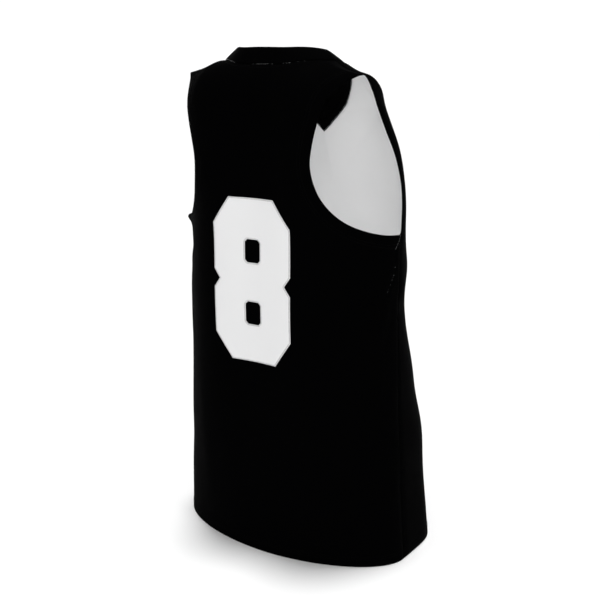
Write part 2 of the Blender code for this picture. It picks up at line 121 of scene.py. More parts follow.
def unit(vectors: np.ndarray) -> np.ndarray:
    """The same vectors, one unit long."""
    return vectors / np.maximum(np.linalg.norm(vectors, axis=-1, keepdims=True), 1e-12)


def smooth(values: np.ndarray, low: float, high: float) -> np.ndarray:
    """Soft step from 0 at `low` to 1 at `high`."""
    t = np.clip((values - low) / (high - low), 0.0, 1.0)
    return t * t * (3.0 - 2.0 * t)


def distance_to(points: np.ndarray, line: np.ndarray) -> np.ndarray:
    """Distance of points from the nearest point of a fine line.

    Args:
        points: Points, in an array of any shape that ends in 3.
        line: Points of the line, one a row.

    Returns:
        One distance for each point.
    """
    flat = points.reshape(-1, 3)
    nearest = np.full(len(flat), np.inf)
    batch = 64
    for start in range(0, len(line), batch):
        gaps = flat[:, None, :] - line[None, start : start + batch, :]
        nearest = np.minimum(nearest, np.sqrt((gaps**2).sum(-1)).min(1))
    return nearest.reshape(points.shape[:-1])


# ---------------------------------------------------------------- body form
class Facing(Enum):
    """Which way a panel looks."""

    BACK = 1.0
    FRONT = -1.0


class Section(NamedTuple):
    """Half section of the body form at one height.

    It runs from the side to the middle as a rounded curve of the given power,
    and a shoulder blade stands out of it halfway.
    """

    height: float
    half_width: float
    side_y: float
    middle_y: float
    power: float
    blade: float


class EdgePoint(NamedTuple):
    """Point of an armhole edge: angle round the half section, and height."""

    turn: float
    height: float


class NeckPoint(NamedTuple):
    """Point of a neck seam: half width and height."""

    half_width: float
    height: float


class Fold(NamedTuple):
    """Soft ridge (or trough, where the depth is below zero) of the cloth.

    The angle goes round the body from the centre back, in degrees, with the
    wearer's left positive.  The lean is in degrees of angle per metre of height.
    """

    angle: float
    height: float
    half_angle: float
    half_height: float
    lean: float
    depth: float


@dataclass(frozen=True)
class Round:
    """How the form rounds over the shoulder: reach at the neck and at its tip, and power."""

    neck_reach: float
    tip_reach: float
    power: float


@dataclass(frozen=True)
class Shoulder:
    """The ridge of the form along both shoulders."""

    neck_half: float = 0.0770
    half: float = 0.1215
    drop: float = 0.0150
    sag: float = 0.0018
    back: float = 0.0160
    bow: float = 1.8
    neck_rise: float = 0.0092

    def ridge(self, x: np.ndarray) -> tuple[np.ndarray, np.ndarray]:
        """Read the ridge over the shoulder seam and across the neck.

        Args:
            x: Half widths.

        Returns:
            The ridge's depth and height there.
        """
        past_neck = np.abs(x) - self.neck_half
        seam = np.clip(past_neck / (self.half - self.neck_half), 0.0, 1.0)
        inside = np.clip(-past_neck / self.neck_half, 0.0, 1.0)
        depth = self.back * (1.0 - (1.0 - seam) ** self.bow)
        fall = self.drop * seam + self.sag * np.sin(math.pi * seam)
        return depth, self.neck_rise * inside - fall


@dataclass(frozen=True)
class Layout:
    """Heights and counts that both panels share.

    The rows of points dip towards the centre line above the underarm, hook down
    beside the armhole, and crowd together below the underarm.
    """

    hem: float = -0.623
    underarm: float = -0.202
    dip: float = 0.022
    dip_power: float = 3.0
    hook: float = 0.120
    hook_end: float = 0.45
    crowding: float = 1.45
    body_rows: int = 76
    yoke_rows: int = 88
    neck_columns: int = 40
    strap_columns: int = 20


SHOULDER = Shoulder()
LAYOUT = Layout()

# The larger folds of the panels.
MAIN_FOLDS = (
    Fold(90.0, -0.2045, 17.0, 0.0055, 0.0, 0.0170),
    Fold(-90.0, -0.204, 9.0, 0.012, 0.0, 0.0010),
    Fold(-110.0, -0.095, 14.0, 0.030, 0.0, 0.0018),
    Fold(-111.0, -0.140, 9.0, 0.040, 0.0, 0.0016),
    Fold(112.0, -0.160, 8.0, 0.050, 0.0, 0.0022),
    Fold(-122.0, -0.250, 24.0, 0.026, 0.0, 0.0041),
    Fold(-112.0, -0.385, 22.0, 0.050, 0.0, 0.0044),
    Fold(-112.0, -0.470, 20.0, 0.045, 0.0, 0.0051),
    Fold(124.0, -0.242, 22.0, 0.024, 0.0, 0.0028),
    Fold(116.0, -0.312, 26.0, 0.032, 0.0, -0.0030),
    Fold(62.0, -0.130, 14.0, 0.030, 0.0, -0.0031),
    Fold(62.0, -0.235, 16.0, 0.020, 0.0, -0.0012),
    Fold(60.0, -0.280, 18.0, 0.022, 0.0, 0.0008),
    Fold(66.0, -0.505, 14.0, 0.030, 0.0, -0.0010),
    Fold(-106.0, -0.600, 12.0, 0.100, 0.0, 0.0050),
    Fold(108.0, -0.585, 12.0, 0.110, 0.0, 0.0030),
)
# Finer creases, laid over the larger folds away from the neck and shoulder seams.
SOFT_FOLDS = (
    # drag lines from the right underarm over the back's side
    Fold(-56.0, -0.252, 3.2, 0.016, 620.0, 0.0011),
    Fold(-52.0, -0.262, 3.4, 0.018, 620.0, -0.0009),
    Fold(-70.0, -0.322, 7.0, 0.062, -190.0, 0.0017),
    Fold(-80.0, -0.300, 4.0, 0.040, -150.0, -0.0012),
    Fold(-62.0, -0.372, 6.0, 0.036, -160.0, -0.0009),
    Fold(-97.0, -0.268, 6.0, 0.016, 200.0, 0.0016),
    Fold(-97.0, -0.292, 6.0, 0.014, 200.0, -0.0013),
    # the same on the left
    Fold(58.0, -0.246, 3.6, 0.018, -560.0, 0.0010),
    Fold(66.0, -0.300, 6.5, 0.056, 170.0, 0.0014),
    Fold(79.0, -0.330, 4.5, 0.044, 140.0, -0.0010),
    Fold(96.0, -0.276, 6.0, 0.017, -210.0, 0.0014),
    # front: drape from the chest, uneven and soft
    Fold(-128.0, -0.455, 7.5, 0.120, -26.0, 0.0026),
    Fold(-141.0, -0.500, 6.0, 0.100, -18.0, -0.0020),
    Fold(-157.0, -0.520, 8.0, 0.090, -12.0, 0.0018),
    Fold(131.0, -0.470, 8.0, 0.110, 30.0, 0.0024),
    Fold(146.0, -0.515, 6.5, 0.092, 16.0, -0.0018),
    Fold(168.0, -0.545, 8.5, 0.075, 8.0, 0.0014),
    Fold(-132.0, -0.215, 8.0, 0.020, 320.0, 0.0016),
    Fold(-140.0, -0.246, 8.0, 0.020, 330.0, -0.0014),
    Fold(134.0, -0.222, 8.5, 0.021, -300.0, 0.0015),
    Fold(142.0, -0.256, 8.0, 0.022, -320.0, -0.0013),
    # back: very soft flutes below the number
    Fold(-30.0, -0.520, 6.0, 0.085, -20.0, 0.0009),
    Fold(8.0, -0.540, 7.0, 0.080, 10.0, -0.0008),
    Fold(36.0, -0.500, 6.0, 0.090, 26.0, 0.0010),
    Fold(-14.0, -0.118, 9.0, 0.040, 0.0, -0.0006),
    # strain on the straps
    Fold(-122.0, -0.100, 6.0, 0.034, 60.0, 0.0008),
    Fold(122.0, -0.104, 6.0, 0.032, -60.0, 0.0008),
    Fold(-40.0, -0.060, 4.0, 0.024, 0.0, -0.0006),
    Fold(41.0, -0.064, 4.0, 0.024, 0.0, -0.0005),
)
# Share of the cloth's thickness lost where the left underarm is folded sharply.
LEFT_PINCH = Fold(92.0, -0.211, 22.0, 0.016, 0.0, 0.70)


def swell(angle: np.ndarray, z: np.ndarray, folds: Sequence[Fold]) -> np.ndarray:
    """Sum of soft folds at angles round the body and heights.

    Args:
        angle: Angle round the body, in degrees.
        z: Height.
        folds: The folds to add up.

    Returns:
        How far the cloth stands out.
    """
    total = np.zeros_like(z)
    for fold in folds:
        away = angle - fold.angle - fold.lean * (z - fold.height)
        away = (away + 180.0) % 360.0 - 180.0
        rise = (z - fold.height) / fold.half_height
        total = total + fold.depth * np.exp(-((away / fold.half_angle) ** 2) - rise**2)
    return total


@dataclass
class BodyForm:
    """Front or back half of the body form, with the panel's edges on it."""

    facing: Facing
    sections: tuple[Section, ...]
    rounding: Round
    armhole: tuple[EdgePoint, ...]
    neck: tuple[NeckPoint, ...]
    band_lift: tuple[float, float, float]
    table: np.ndarray = field(init=False)

    def __post_init__(self) -> None:
        """Sort the sections by height."""
        self.table = np.array(sorted(self.sections))

    @property
    def sign(self) -> float:
        """+1 for the back and -1 for the front."""
        return self.facing.value

    def size(self, name: str, z: np.ndarray) -> np.ndarray:
        """One column of the section table, read at heights z."""
        return through(self.table[:, 0], self.table[:, Section._fields.index(name)], z)

    def turn(self, x: np.ndarray, z: np.ndarray) -> np.ndarray:
        """Angle round the half section from its middle (0) to its side (pi / 2)."""
        across = np.clip(np.abs(x) / self.size("half_width", z), 0.0, 1.0)
        return np.arcsin(across ** (self.size("power", z) / 2.0))

    def width(self, turn: np.ndarray, z: np.ndarray) -> np.ndarray:
        """Half width reached at an angle round the half section."""
        return self.size("half_width", z) * np.sin(turn) ** (2.0 / self.size("power", z))

    def depth(self, x: np.ndarray, z: np.ndarray) -> np.ndarray:
        """Depth of the form, carried over the shoulder to the ridge.

        Args:
            x: Half widths.
            z: Heights.

        Returns:
            How far back each place lies.
        """
        across = np.clip(np.abs(x) / self.size("half_width", z), 0.0, 1.0)
        power, side = self.size("power", z), self.size("side_y", z)
        flat = side + (self.size("middle_y", z) - side) * (1.0 - across**power) ** (1.0 / power)
        flat = flat + self.size("blade", z) * np.sin(math.pi * across) ** 2
        shape = self.rounding
        outwards = np.clip(np.abs(x) / SHOULDER.half, 0.0, 1.0)
        reach = shape.neck_reach + (shape.tip_reach - shape.neck_reach) * outwards
        ridge_y, ridge_z = SHOULDER.ridge(x)
        below = np.clip((ridge_z - z) / reach, 0.0, 1.0)
        share = (1.0 - (1.0 - below) ** shape.power) ** (1.0 / shape.power)
        return ridge_y + (flat - ridge_y) * share

    def points(self, turn: np.ndarray, z: np.ndarray) -> np.ndarray:
        """Points of the form at angles round the half section and heights."""
        x = self.width(turn, z)
        return np.stack([x, self.depth(x, z), z], -1)

    def neck_curve(self, count: int) -> np.ndarray:
        """Half of the neck seam, evenly from the centre.

        Args:
            count: Number of even steps.

        Returns:
            One point more than there are steps.
        """
        knots = np.array(self.neck, float)
        along = lengths_along(knots)
        fine = np.linspace(0.0, along[-1], FINE_POINTS)
        flat = np.stack([through(along, knots[:, k], fine) for k in range(2)], 1)
        flat = evenly(flat, np.linspace(0.0, 1.0, EVEN_POINTS))
        curve = np.stack([flat[:, 0], self.depth(flat[:, 0], flat[:, 1]), flat[:, 1]], 1)
        return evenly(curve, np.linspace(0.0, 1.0, count + 1))

    def armhole_curve(self, fractions: np.ndarray) -> np.ndarray:
        """The armhole edge from the underarm up.

        Args:
            fractions: Places from 0 to 1 along the edge.

        Returns:
            One point for each fraction.
        """
        tip = (math.degrees(float(self.turn(SHOULDER.half, -SHOULDER.drop))), -SHOULDER.drop)
        turn, z = np.array(tuple(self.armhole) + (tip,)).T
        turn = np.radians(turn)
        knots = lengths_along(self.points(turn, z))
        fine = np.linspace(0.0, knots[-1], FINE_POINTS)
        return evenly(self.points(through(knots, turn, fine), through(knots, z, fine)), fractions)

    def girth_angle(self, points: np.ndarray) -> np.ndarray:
        """Angle round the body from the centre back.

        Args:
            points: Points of the form.

        Returns:
            Their angles in degrees, with the wearer's left positive.
        """
        angle = np.degrees(self.turn(points[..., 0], points[..., 2]))
        if self.facing is Facing.FRONT:
            angle = 180.0 - angle
        return np.sign(points[..., 0]) * angle

    def half_grid(self) -> np.ndarray:
        """Lay the points of the wearer's left half on the form.

        Returns:
            Rows from the hem to the top, each from the centre line to the edge.
        """
        lay = LAYOUT
        neck = self.neck_curve(lay.neck_columns)
        x = np.linspace(SHOULDER.neck_half, SHOULDER.half, lay.strap_columns + 1)[1:]
        ridge_y, ridge_z = SHOULDER.ridge(x)
        top = np.concatenate([neck, np.stack([x, ridge_y, ridge_z], 1)])
        top_turn = self.turn(top[:, 0], top[:, 2])
        strap_share = top_turn / top_turn[-1]
        even_share = np.linspace(0.0, 1.0, len(top))

        left = np.linspace(1.0, 0.0, lay.body_rows + 1) ** lay.crowding
        body_z = lay.underarm + (lay.hem - lay.underarm) * left[:-1]
        climbed = (1.0 - left[:-1]) ** lay.dip_power
        body_centre = body_z + lay.dip * climbed
        climb = np.linspace(0.0, 1.0, lay.yoke_rows + 1)
        edge = self.armhole_curve(climb)
        z = np.linspace(lay.underarm + lay.dip, top[0, 2], EVEN_POINTS)
        centre = evenly(np.stack([0 * z, self.depth(0 * z, z), z], 1), climb)

        edge_z = np.concatenate([body_z, edge[:, 2]])
        centre_z = np.concatenate([body_centre, centre[:, 2]])
        sides = np.full(lay.body_rows, math.pi / 2.0)
        edge_turn = np.concatenate([sides, self.turn(edge[:, 0], edge[:, 2])])
        rise = np.linspace(0.0, 1.0, len(edge_z))[:, None]
        share = even_share + (strap_share - even_share) * rise
        turn = share * edge_turn[:, None]
        z = centre_z[:, None] + (edge_z - centre_z)[:, None] * share * share * (3.0 - 2.0 * share)
        faded = np.clip(1.0 - climb / lay.hook_end, 0.0, 1.0) ** 2
        hook = lay.hook * np.concatenate([climbed, faded])
        z = z - hook[:, None] * (1.0 - share) * share**4
        settle = np.concatenate([np.zeros(lay.body_rows), climb**2])[:, None]
        turn = turn + settle * (top_turn - turn[-1])
        z = z + settle * (top[:, 2] - z[-1])
        rows = self.points(turn, z)
        rows[-1] = top
        return rows

    def grid(self) -> np.ndarray:
        """Points of the whole panel, rows up and columns towards +X."""
        half = self.half_grid()
        return np.concatenate([half[:, :0:-1] * MIRROR, half], axis=1)


def grid_normals(grid: np.ndarray, sign: float) -> np.ndarray:
    """Outward unit normals of a grid of points."""
    return unit(np.cross(np.gradient(grid, axis=0), np.gradient(grid, axis=1)) * sign)


BACK_FORM = BodyForm(
    facing=Facing.BACK,
    sections=(
        Section(-0.0150, 0.1500, -0.040, 0.060, 2.10, 0.024),
        Section(-0.0600, 0.1500, -0.040, 0.060, 2.10, 0.024),
        Section(-0.1100, 0.1500, -0.040, 0.060, 2.00, 0.021),
        Section(-0.1400, 0.1500, -0.038, 0.060, 2.00, 0.018),
        Section(-0.1700, 0.1475, -0.037, 0.060, 1.97, 0.015),
        Section(-0.2020, 0.1490, -0.033, 0.060, 1.93, 0.012),
        Section(-0.2930, 0.1500, -0.030, 0.060, 1.93, 0.012),
        Section(-0.3930, 0.1530, -0.027, 0.057, 1.93, 0.010),
        Section(-0.4930, 0.1590, -0.027, 0.053, 1.91, 0.006),
        Section(-0.6230, 0.1665, -0.031, 0.050, 1.88, 0.000),
    ),
    rounding=Round(0.056, 0.053, 2.10),
    armhole=(
        EdgePoint(90.0, -0.2020),
        EdgePoint(73.3, -0.1994),
        EdgePoint(60.0, -0.1930),
        EdgePoint(49.5, -0.1824),
        EdgePoint(41.4, -0.1657),
        EdgePoint(35.5, -0.1437),
        EdgePoint(33.2, -0.1180),
        EdgePoint(34.2, -0.0915),
        EdgePoint(36.5, -0.0655),
        EdgePoint(39.5, -0.0408),
        EdgePoint(45.2, -0.0248),
    ),
    neck=(
        NeckPoint(0.0000, -0.0046),
        NeckPoint(0.0300, -0.0038),
        NeckPoint(0.0600, 0.0000),
        NeckPoint(0.0770, 0.0000),
    ),
    band_lift=(47.0, 42.0, 30.0),
)

FRONT_FORM = BodyForm(
    facing=Facing.FRONT,
    sections=(
        Section(-0.0150, 0.1217, 0.016, -0.102, 2.40, 0.0),
        Section(-0.0330, 0.1149, -0.017, -0.110, 2.40, 0.0),
        Section(-0.0530, 0.1073, -0.046, -0.122, 2.40, 0.0),
        Section(-0.0800, 0.1190, -0.046, -0.120, 2.30, 0.0),
        Section(-0.1100, 0.1320, -0.047, -0.120, 2.10, 0.0),
        Section(-0.1400, 0.1410, -0.045, -0.126, 1.90, 0.0),
        Section(-0.1700, 0.1475, -0.037, -0.136, 1.84, 0.0),
        Section(-0.2020, 0.1490, -0.033, -0.144, 1.84, 0.0),
        Section(-0.2930, 0.1500, -0.030, -0.143, 1.90, 0.0),
        Section(-0.3930, 0.1530, -0.027, -0.160, 2.25, 0.0),
        Section(-0.4930, 0.1590, -0.027, -0.175, 2.75, 0.0),
        Section(-0.6230, 0.1665, -0.031, -0.180, 3.20, 0.0),
    ),
    rounding=Round(0.180, 0.008, 1.95),
    armhole=(
        EdgePoint(90.0, -0.2020),
        EdgePoint(88.3, -0.1975),
        EdgePoint(87.3, -0.1895),
        EdgePoint(86.9, -0.1790),
        EdgePoint(86.4, -0.1670),
        EdgePoint(86.4, -0.1550),
        EdgePoint(86.8, -0.1400),
        EdgePoint(88.0, -0.1200),
        EdgePoint(88.8, -0.0980),
        EdgePoint(89.0, -0.0740),
        EdgePoint(89.0, -0.0500),
        EdgePoint(88.7, -0.0300),
    ),
    neck=(
        NeckPoint(0.0000, -0.0790),
        NeckPoint(0.0300, -0.0520),
        NeckPoint(0.0550, -0.0290),
        NeckPoint(0.0705, -0.0120),
        NeckPoint(0.0770, 0.0000),
    ),
    band_lift=(4.0, 18.0, 30.0),
)


# ---------------------------------------------------------------- shader tools
class Wire:
    """A number socket of a shader tree, which takes part in sums and products."""

    def __init__(self, tree: "Tree", socket: bpy.types.NodeSocket) -> None:
        """Keep the tree and the socket."""
        self.tree = tree
        self.socket = socket

    def _with(self, kind: str, first: "Wire | float", second: "Wire | float" = 0.0) -> "Wire":
        """One Math node on two values."""
        node = self.tree.node("ShaderNodeMath", {"operation": kind}, {0: first, 1: second})
        return Wire(self.tree, node.outputs[0])

    def __add__(self, other: "Wire | float") -> "Wire":
        """Sum."""
        return self._with("ADD", self, other)

    def __mul__(self, other: "Wire | float") -> "Wire":
        """Product."""
        return self._with("MULTIPLY", self, other)

    def wave(self) -> "Wire":
        """Sine."""
        return self._with("SINE", self)

    def size(self) -> "Wire":
        """Distance from zero."""
        return self._with("ABSOLUTE", self)

    def held(self, low: float, high: float) -> "Wire":
        """Turn the value into a soft step.

        Args:
            low: Value where the step begins.
            high: Value where it ends.

        Returns:
            0 below the step and 1 above it.
        """
        settings = {"interpolation_type": "SMOOTHSTEP"}
        node = self.tree.node("ShaderNodeMapRange", settings, {0: self, 1: low, 2: high})
        return Wire(self.tree, node.outputs[0])


Value = Wire | float | tuple[float, ...]


class Tree:
    """A material's node tree, filled in a few plain calls."""

    def __init__(self, name: str) -> None:
        """Make the material and its shader.

        Args:
            name: Name of the material.
        """
        self.material = bpy.data.materials.new(name)
        self.material.use_nodes = True
        self.nodes = self.material.node_tree.nodes
        self.links = self.material.node_tree.links
        self.shader = self.nodes["Principled BSDF"]

    def node(
        self, kind: str, settings: dict[str, object] | None = None,
        values: dict[int | str, "Value"] | None = None,
    ) -> bpy.types.Node:
        """Add a node.

        Args:
            kind: The node's type.
            settings: Its properties, set first.
            values: Numbers, colours or wires for its sockets.

        Returns:
            The node.
        """
        made = self.nodes.new(kind)
        for key, setting in (settings or {}).items():
            setattr(made, key, setting)
        for key, value in (values or {}).items():
            if isinstance(value, Wire):
                self.links.new(value.socket, made.inputs[key])
            else:
                made.inputs[key].default_value = value
        return made

    def wire(self, node: bpy.types.Node, output: int | str = 0) -> Wire:
        """One output of a node as a wire."""
        return Wire(self, node.outputs[output])

    def cloth_uv(self) -> tuple[Wire, Wire]:
        """The piece's own cloth coordinates.

        Returns:
            Metres across and along the cloth.
        """
        source = self.node("ShaderNodeUVMap", {"uv_map": CLOTH_UV})
        split = self.node("ShaderNodeSeparateXYZ", None, {0: self.wire(source)})
        return self.wire(split, 0), self.wire(split, 1)

    def noise(self, scale: float, detail: float = 2.0) -> Wire:
        """Even noise in object space.

        Args:
            scale: Patches a metre.
            detail: Finer layers within a patch.

        Returns:
            The noise, from 0 to 1.
        """
        place = self.node("ShaderNodeTexCoord")
        values = {"Vector": self.wire(place, "Object"), "Scale": scale, "Detail": detail}
        return self.wire(self.node("ShaderNodeTexNoise", None, values))

    def point_value(self, name: str) -> Wire:
        """A number stored on the piece's points."""
        return self.wire(self.node("ShaderNodeAttribute", {"attribute_name": name}), "Fac")

    def blend(
        self, share: Wire, first: Wire | Sequence[float], second: Wire | Sequence[float],
    ) -> Wire:
        """Colour between two colours.

        Args:
            share: Share of the second colour.
            first: A colour or a wire.
            second: A colour or a wire.

        Returns:
            The blend.
        """
        values: dict[int | str, Value] = {0: share}
        for key, colour in ((6, first), (7, second)):
            values[key] = colour if isinstance(colour, Wire) else (*colour, 1.0)
        node = self.node("ShaderNodeMix", {"data_type": "RGBA"}, values)
        return self.wire(node, 2)

    def feed(self, **values: "Value") -> None:
        """Set sockets of the shader.

        Args:
            values: Value of each socket, named with _ for a space.
        """
        for key, value in values.items():
            socket = self.shader.inputs[key.replace("_", " ")]
            if isinstance(value, Wire):
                self.links.new(value.socket, socket)
            else:
                socket.default_value = value

    def bump(self, height: Wire, distance: float, strength: float = 1.0) -> None:
        """Raise the surface by a height pattern."""
        values = {"Height": height, "Distance": distance, "Strength": strength}
        self.feed(Normal=self.wire(self.node("ShaderNodeBump", None, values)))


Colour = tuple[float, float, float]

# The cloth coordinates, and how far a point lies beyond a turned edge.
CLOTH_UV = "cloth"
TURNING = "beyond_turning"

BLACK: Colour = (0.0006, 0.0006, 0.0007)
BLACK_SHADE: Colour = (0.0004, 0.0004, 0.0005)
PALE: Colour = (0.86, 0.86, 0.86)
PALE_SHADE: Colour = (0.83, 0.83, 0.835)


# ---------------------------------------------------------------- finishes
@dataclass(frozen=True)
class KnitFinish:
    """Fine jersey knit: rows of small loops, with a little unevenness.

    Clouds, fibres and wear are noise scales, in patches a metre.  The pattern is
    how much the legs and the rows of the loops rise and fall, and the mottle is
    how much clouds, fibres and loops each tell in the colour.
    """

    name: str
    colour: Colour
    shade: Colour
    roughness: float
    specular: float
    wale: float = 1.15 * MILLIMETRE
    course: float = 0.85 * MILLIMETRE
    relief: float = 0.10 * MILLIMETRE
    clouds: float = 9.0
    fibres: float = 420.0
    wear: float = 60.0
    wear_depth: float = 0.10
    leaning: float = 0.9
    pattern: tuple[float, float] = (0.30, 0.20)
    mottle: tuple[float, float, float] = (0.55, 0.25, 0.20)
    raised: float = 0.6

    def loops(self, tree: Tree) -> Wire:
        """Pattern of the knit's loops.

        Args:
            tree: The finish's node tree.

        Returns:
            Height of the loops, from 0 to 1.
        """
        across, along = tree.cloth_uv()
        legs = (across * (math.tau / self.wale)).wave()
        slant = (across * (math.pi / self.wale)).wave().size() * self.leaning
        rows = ((along * (math.tau / self.course)) + slant * math.pi).wave()
        return legs * self.pattern[0] + rows * self.pattern[1] + 0.5

    def tint(self, tree: Tree, share: Wire) -> Wire:
        """Colour of the cloth between its shade and its full colour."""
        return tree.blend(share, self.shade, self.colour)

    def material(self) -> bpy.types.Material:
        """Build the finish.

        Returns:
            The material.
        """
        tree = Tree(self.name)
        loops = self.loops(tree)
        clouds, fibres = tree.noise(self.clouds, 3.0), tree.noise(self.fibres, 1.0)
        large, small, knit = self.mottle
        tree.feed(
            Base_Color=self.tint(tree, clouds * large + fibres * small + loops * knit),
            Roughness=tree.noise(self.wear) * self.wear_depth
            + (self.roughness - self.wear_depth / 2.0),
            Specular_IOR_Level=self.specular,
        )
        tree.bump(loops, self.relief, self.raised)
        return tree.material


@dataclass(frozen=True)
class ReverseFinish(KnitFinish):
    """Pale reverse of the knit, with the dark face shown where an edge is turned in."""

    blur: float = 0.2 * MILLIMETRE

    def tint(self, tree: Tree, share: Wire) -> Wire:
        """Pale cloth, and dark within the turnings."""
        beyond = tree.point_value(TURNING).held(-self.blur, self.blur)
        return tree.blend(beyond, BLACK, super().tint(tree, share))


@dataclass(frozen=True)
class RibFinish(KnitFinish):
    """Rib of the neckband: fine upright ribs."""

    rib: float = 1.6 * MILLIMETRE
    pattern: tuple[float, float] = (0.36, 0.10)

    def loops(self, tree: Tree) -> Wire:
        """Pattern of the ribs.

        Args:
            tree: The finish's node tree.

        Returns:
            Height of the ribs, from 0 to 1.
        """
        across, along = tree.cloth_uv()
        ribs = (across * (math.tau / self.rib)).wave()
        rows = (along * (math.tau / self.course)).wave()
        return ribs * self.pattern[0] + rows * self.pattern[1] + 0.5


@dataclass(frozen=True)
class TwillFinish:
    """Applied number cloth: a close diagonal weave."""

    name: str = "number_twill"
    colour: Colour = (0.74, 0.74, 0.74)
    shade: Colour = (0.71, 0.71, 0.715)
    roughness: float = 0.55
    specular: float = 0.25
    pitch: float = 0.8 * MILLIMETRE
    relief: float = 0.05 * MILLIMETRE
    raised: float = 0.5
    patches: float = 28.0
    mottle: tuple[float, float] = (0.6, 0.4)
    wear: float = 90.0
    wear_depth: float = 0.1

    def material(self) -> bpy.types.Material:
        """Build the finish.

        Returns:
            The material.
        """
        tree = Tree(self.name)
        across, along = tree.cloth_uv()
        twill = ((across + along) * (math.tau / self.pitch)).wave() * 0.5 + 0.5
        mottled = tree.noise(self.patches, 3.0) * self.mottle[0] + twill * self.mottle[1]
        tree.feed(
            Base_Color=tree.blend(mottled, self.shade, self.colour),
            Roughness=tree.noise(self.wear) * self.wear_depth + self.roughness,
            Specular_IOR_Level=self.specular,
        )
        tree.bump(twill, self.relief, self.raised)
        return tree.material


@dataclass(frozen=True)
class ThreadFinish:
    """Sewing thread: a soft twist along each stitch."""

    name: str
    colour: Colour
    roughness: float
    specular: float
    strands: float = 1600.0
    shaded: float = 0.72
    uneven: float = 0.1
    relief: float = 0.05 * MILLIMETRE
    raised: float = 0.5

    def material(self) -> bpy.types.Material:
        """Build the finish.

        Returns:
            The material.
        """
        tree = Tree(self.name)
        strand = tree.noise(self.strands, 1.0)
        darker = tuple(part * self.shaded for part in self.colour)
        tree.feed(
            Base_Color=tree.blend(strand, darker, self.colour),
            Roughness=strand * (2.0 * self.uneven) + (self.roughness - self.uneven),
            Specular_IOR_Level=self.specular,
        )
        tree.bump(strand, self.relief, self.raised)
        return tree.material


@dataclass(frozen=True)
class FloorFinish:
    """Plain pale studio paper."""

    name: str = "studio_paper"
    colour: Colour = (0.93, 0.93, 0.93)
    shaded: float = 0.995
    roughness: float = 0.9
    patches: float = 30.0

    def material(self) -> bpy.types.Material:
        """Build the finish.

        Returns:
            The material.
        """
        tree = Tree(self.name)
        grain = tree.noise(self.patches)
        darker = tuple(part * self.shaded for part in self.colour)
        tree.feed(
            Base_Color=tree.blend(grain, darker, self.colour),
            Roughness=self.roughness,
            Specular_IOR_Level=0.0,
        )
        return tree.material


@dataclass
class Wardrobe:
    """Every finish of the jersey, each built once."""

    face: bpy.types.Material = field(init=False)
    reverse: bpy.types.Material = field(init=False)
    rib: bpy.types.Material = field(init=False)
    number: bpy.types.Material = field(init=False)
    dark_thread: bpy.types.Material = field(init=False)
    overlock_thread: bpy.types.Material = field(init=False)
    pale_thread: bpy.types.Material = field(init=False)
    pale_peek_painted_shade: bpy.types.Material = field(init=False)

    def __post_init__(self) -> None:
        """Build the finishes."""
        for kept, finish in (
            ("face", KnitFinish("jersey_face", BLACK, BLACK_SHADE, 0.72, 0.004)),
            ("reverse", ReverseFinish("jersey_reverse", PALE, PALE_SHADE, 0.85, 0.10)),
            ("rib", RibFinish("neck_rib", BLACK, BLACK_SHADE, 0.70, 0.006)),
            ("number", TwillFinish()),
            ("dark_thread", ThreadFinish("dark_thread", (0.0022, 0.0022, 0.0024), 0.5, 0.02)),
            ("overlock_thread", ThreadFinish("overlock_thread", (0.30, 0.30, 0.305), 0.7, 0.1)),
            ("pale_thread", ThreadFinish("pale_thread", (0.56, 0.56, 0.565), 0.7, 0.1)),
            # The reverse peeking from the neck seam, greyed to paint the shade inside the seam.
            ("pale_peek_painted_shade", ThreadFinish("pale_peek_painted_shade", (0.45, 0.45, 0.455), 0.8, 0.05)),
        ):
            setattr(self, kept, finish.material())


# ---------------------------------------------------------------- mesh tools
def placed(name: str, data: bpy.types.ID) -> bpy.types.Object:
    """Put data into the scene.

    Args:
        name: Name of the object.
        data: Its mesh, light or camera.

    Returns:
        The object, at the origin.
    """
    made = bpy.data.objects.new(name, data)
    bpy.context.scene.collection.objects.link(made)
    return made


def new_piece(
    name: str, points: np.ndarray, faces: list[list[int]], uv: np.ndarray,
    materials: Sequence[bpy.types.Material], slots: Sequence[int] | None = None,
) -> bpy.types.Object:
    """Make a mesh object at the origin.

    Args:
        name: Name of the piece.
        points: Its points.
        faces: Its faces, as lists of point numbers.
        uv: Cloth coordinates of each point, in metres.
        materials: Its finishes.
        slots: Which finish each face has.

    Returns:
        The piece, linked to the scene.
    """
    mesh = bpy.data.meshes.new(name)
    mesh.from_pydata(points.tolist(), [], faces)
    layer = mesh.uv_layers.new(name=CLOTH_UV)
    corner = np.empty(len(mesh.loops), int)
    mesh.loops.foreach_get("vertex_index", corner)
    layer.data.foreach_set("uv", uv[corner].astype(np.float32).ravel())
    for material in materials:
        mesh.materials.append(material)
    if slots is not None:
        mesh.polygons.foreach_set("material_index", np.asarray(slots, np.int32))
    mesh.shade_smooth()
    mesh.update()
    return placed(name, mesh)


def settle_normals(piece: bpy.types.Object) -> None:
    """Point the faces of a closed shell outwards.

    Args:
        piece: The shell.
    """
    shape = bmesh.new()
    shape.from_mesh(piece.data)
    if shape.calc_volume(signed=True) < 0.0:
        bmesh.ops.reverse_faces(shape, faces=shape.faces[:])
    shape.to_mesh(piece.data)
    shape.free()


def ring_faces(first: list[int], second: list[int]) -> list[list[int]]:
    """Quads between two lines of point numbers."""
    return [[a, b, d, c] for a, b, c, d in zip(first, first[1:], second, second[1:])]


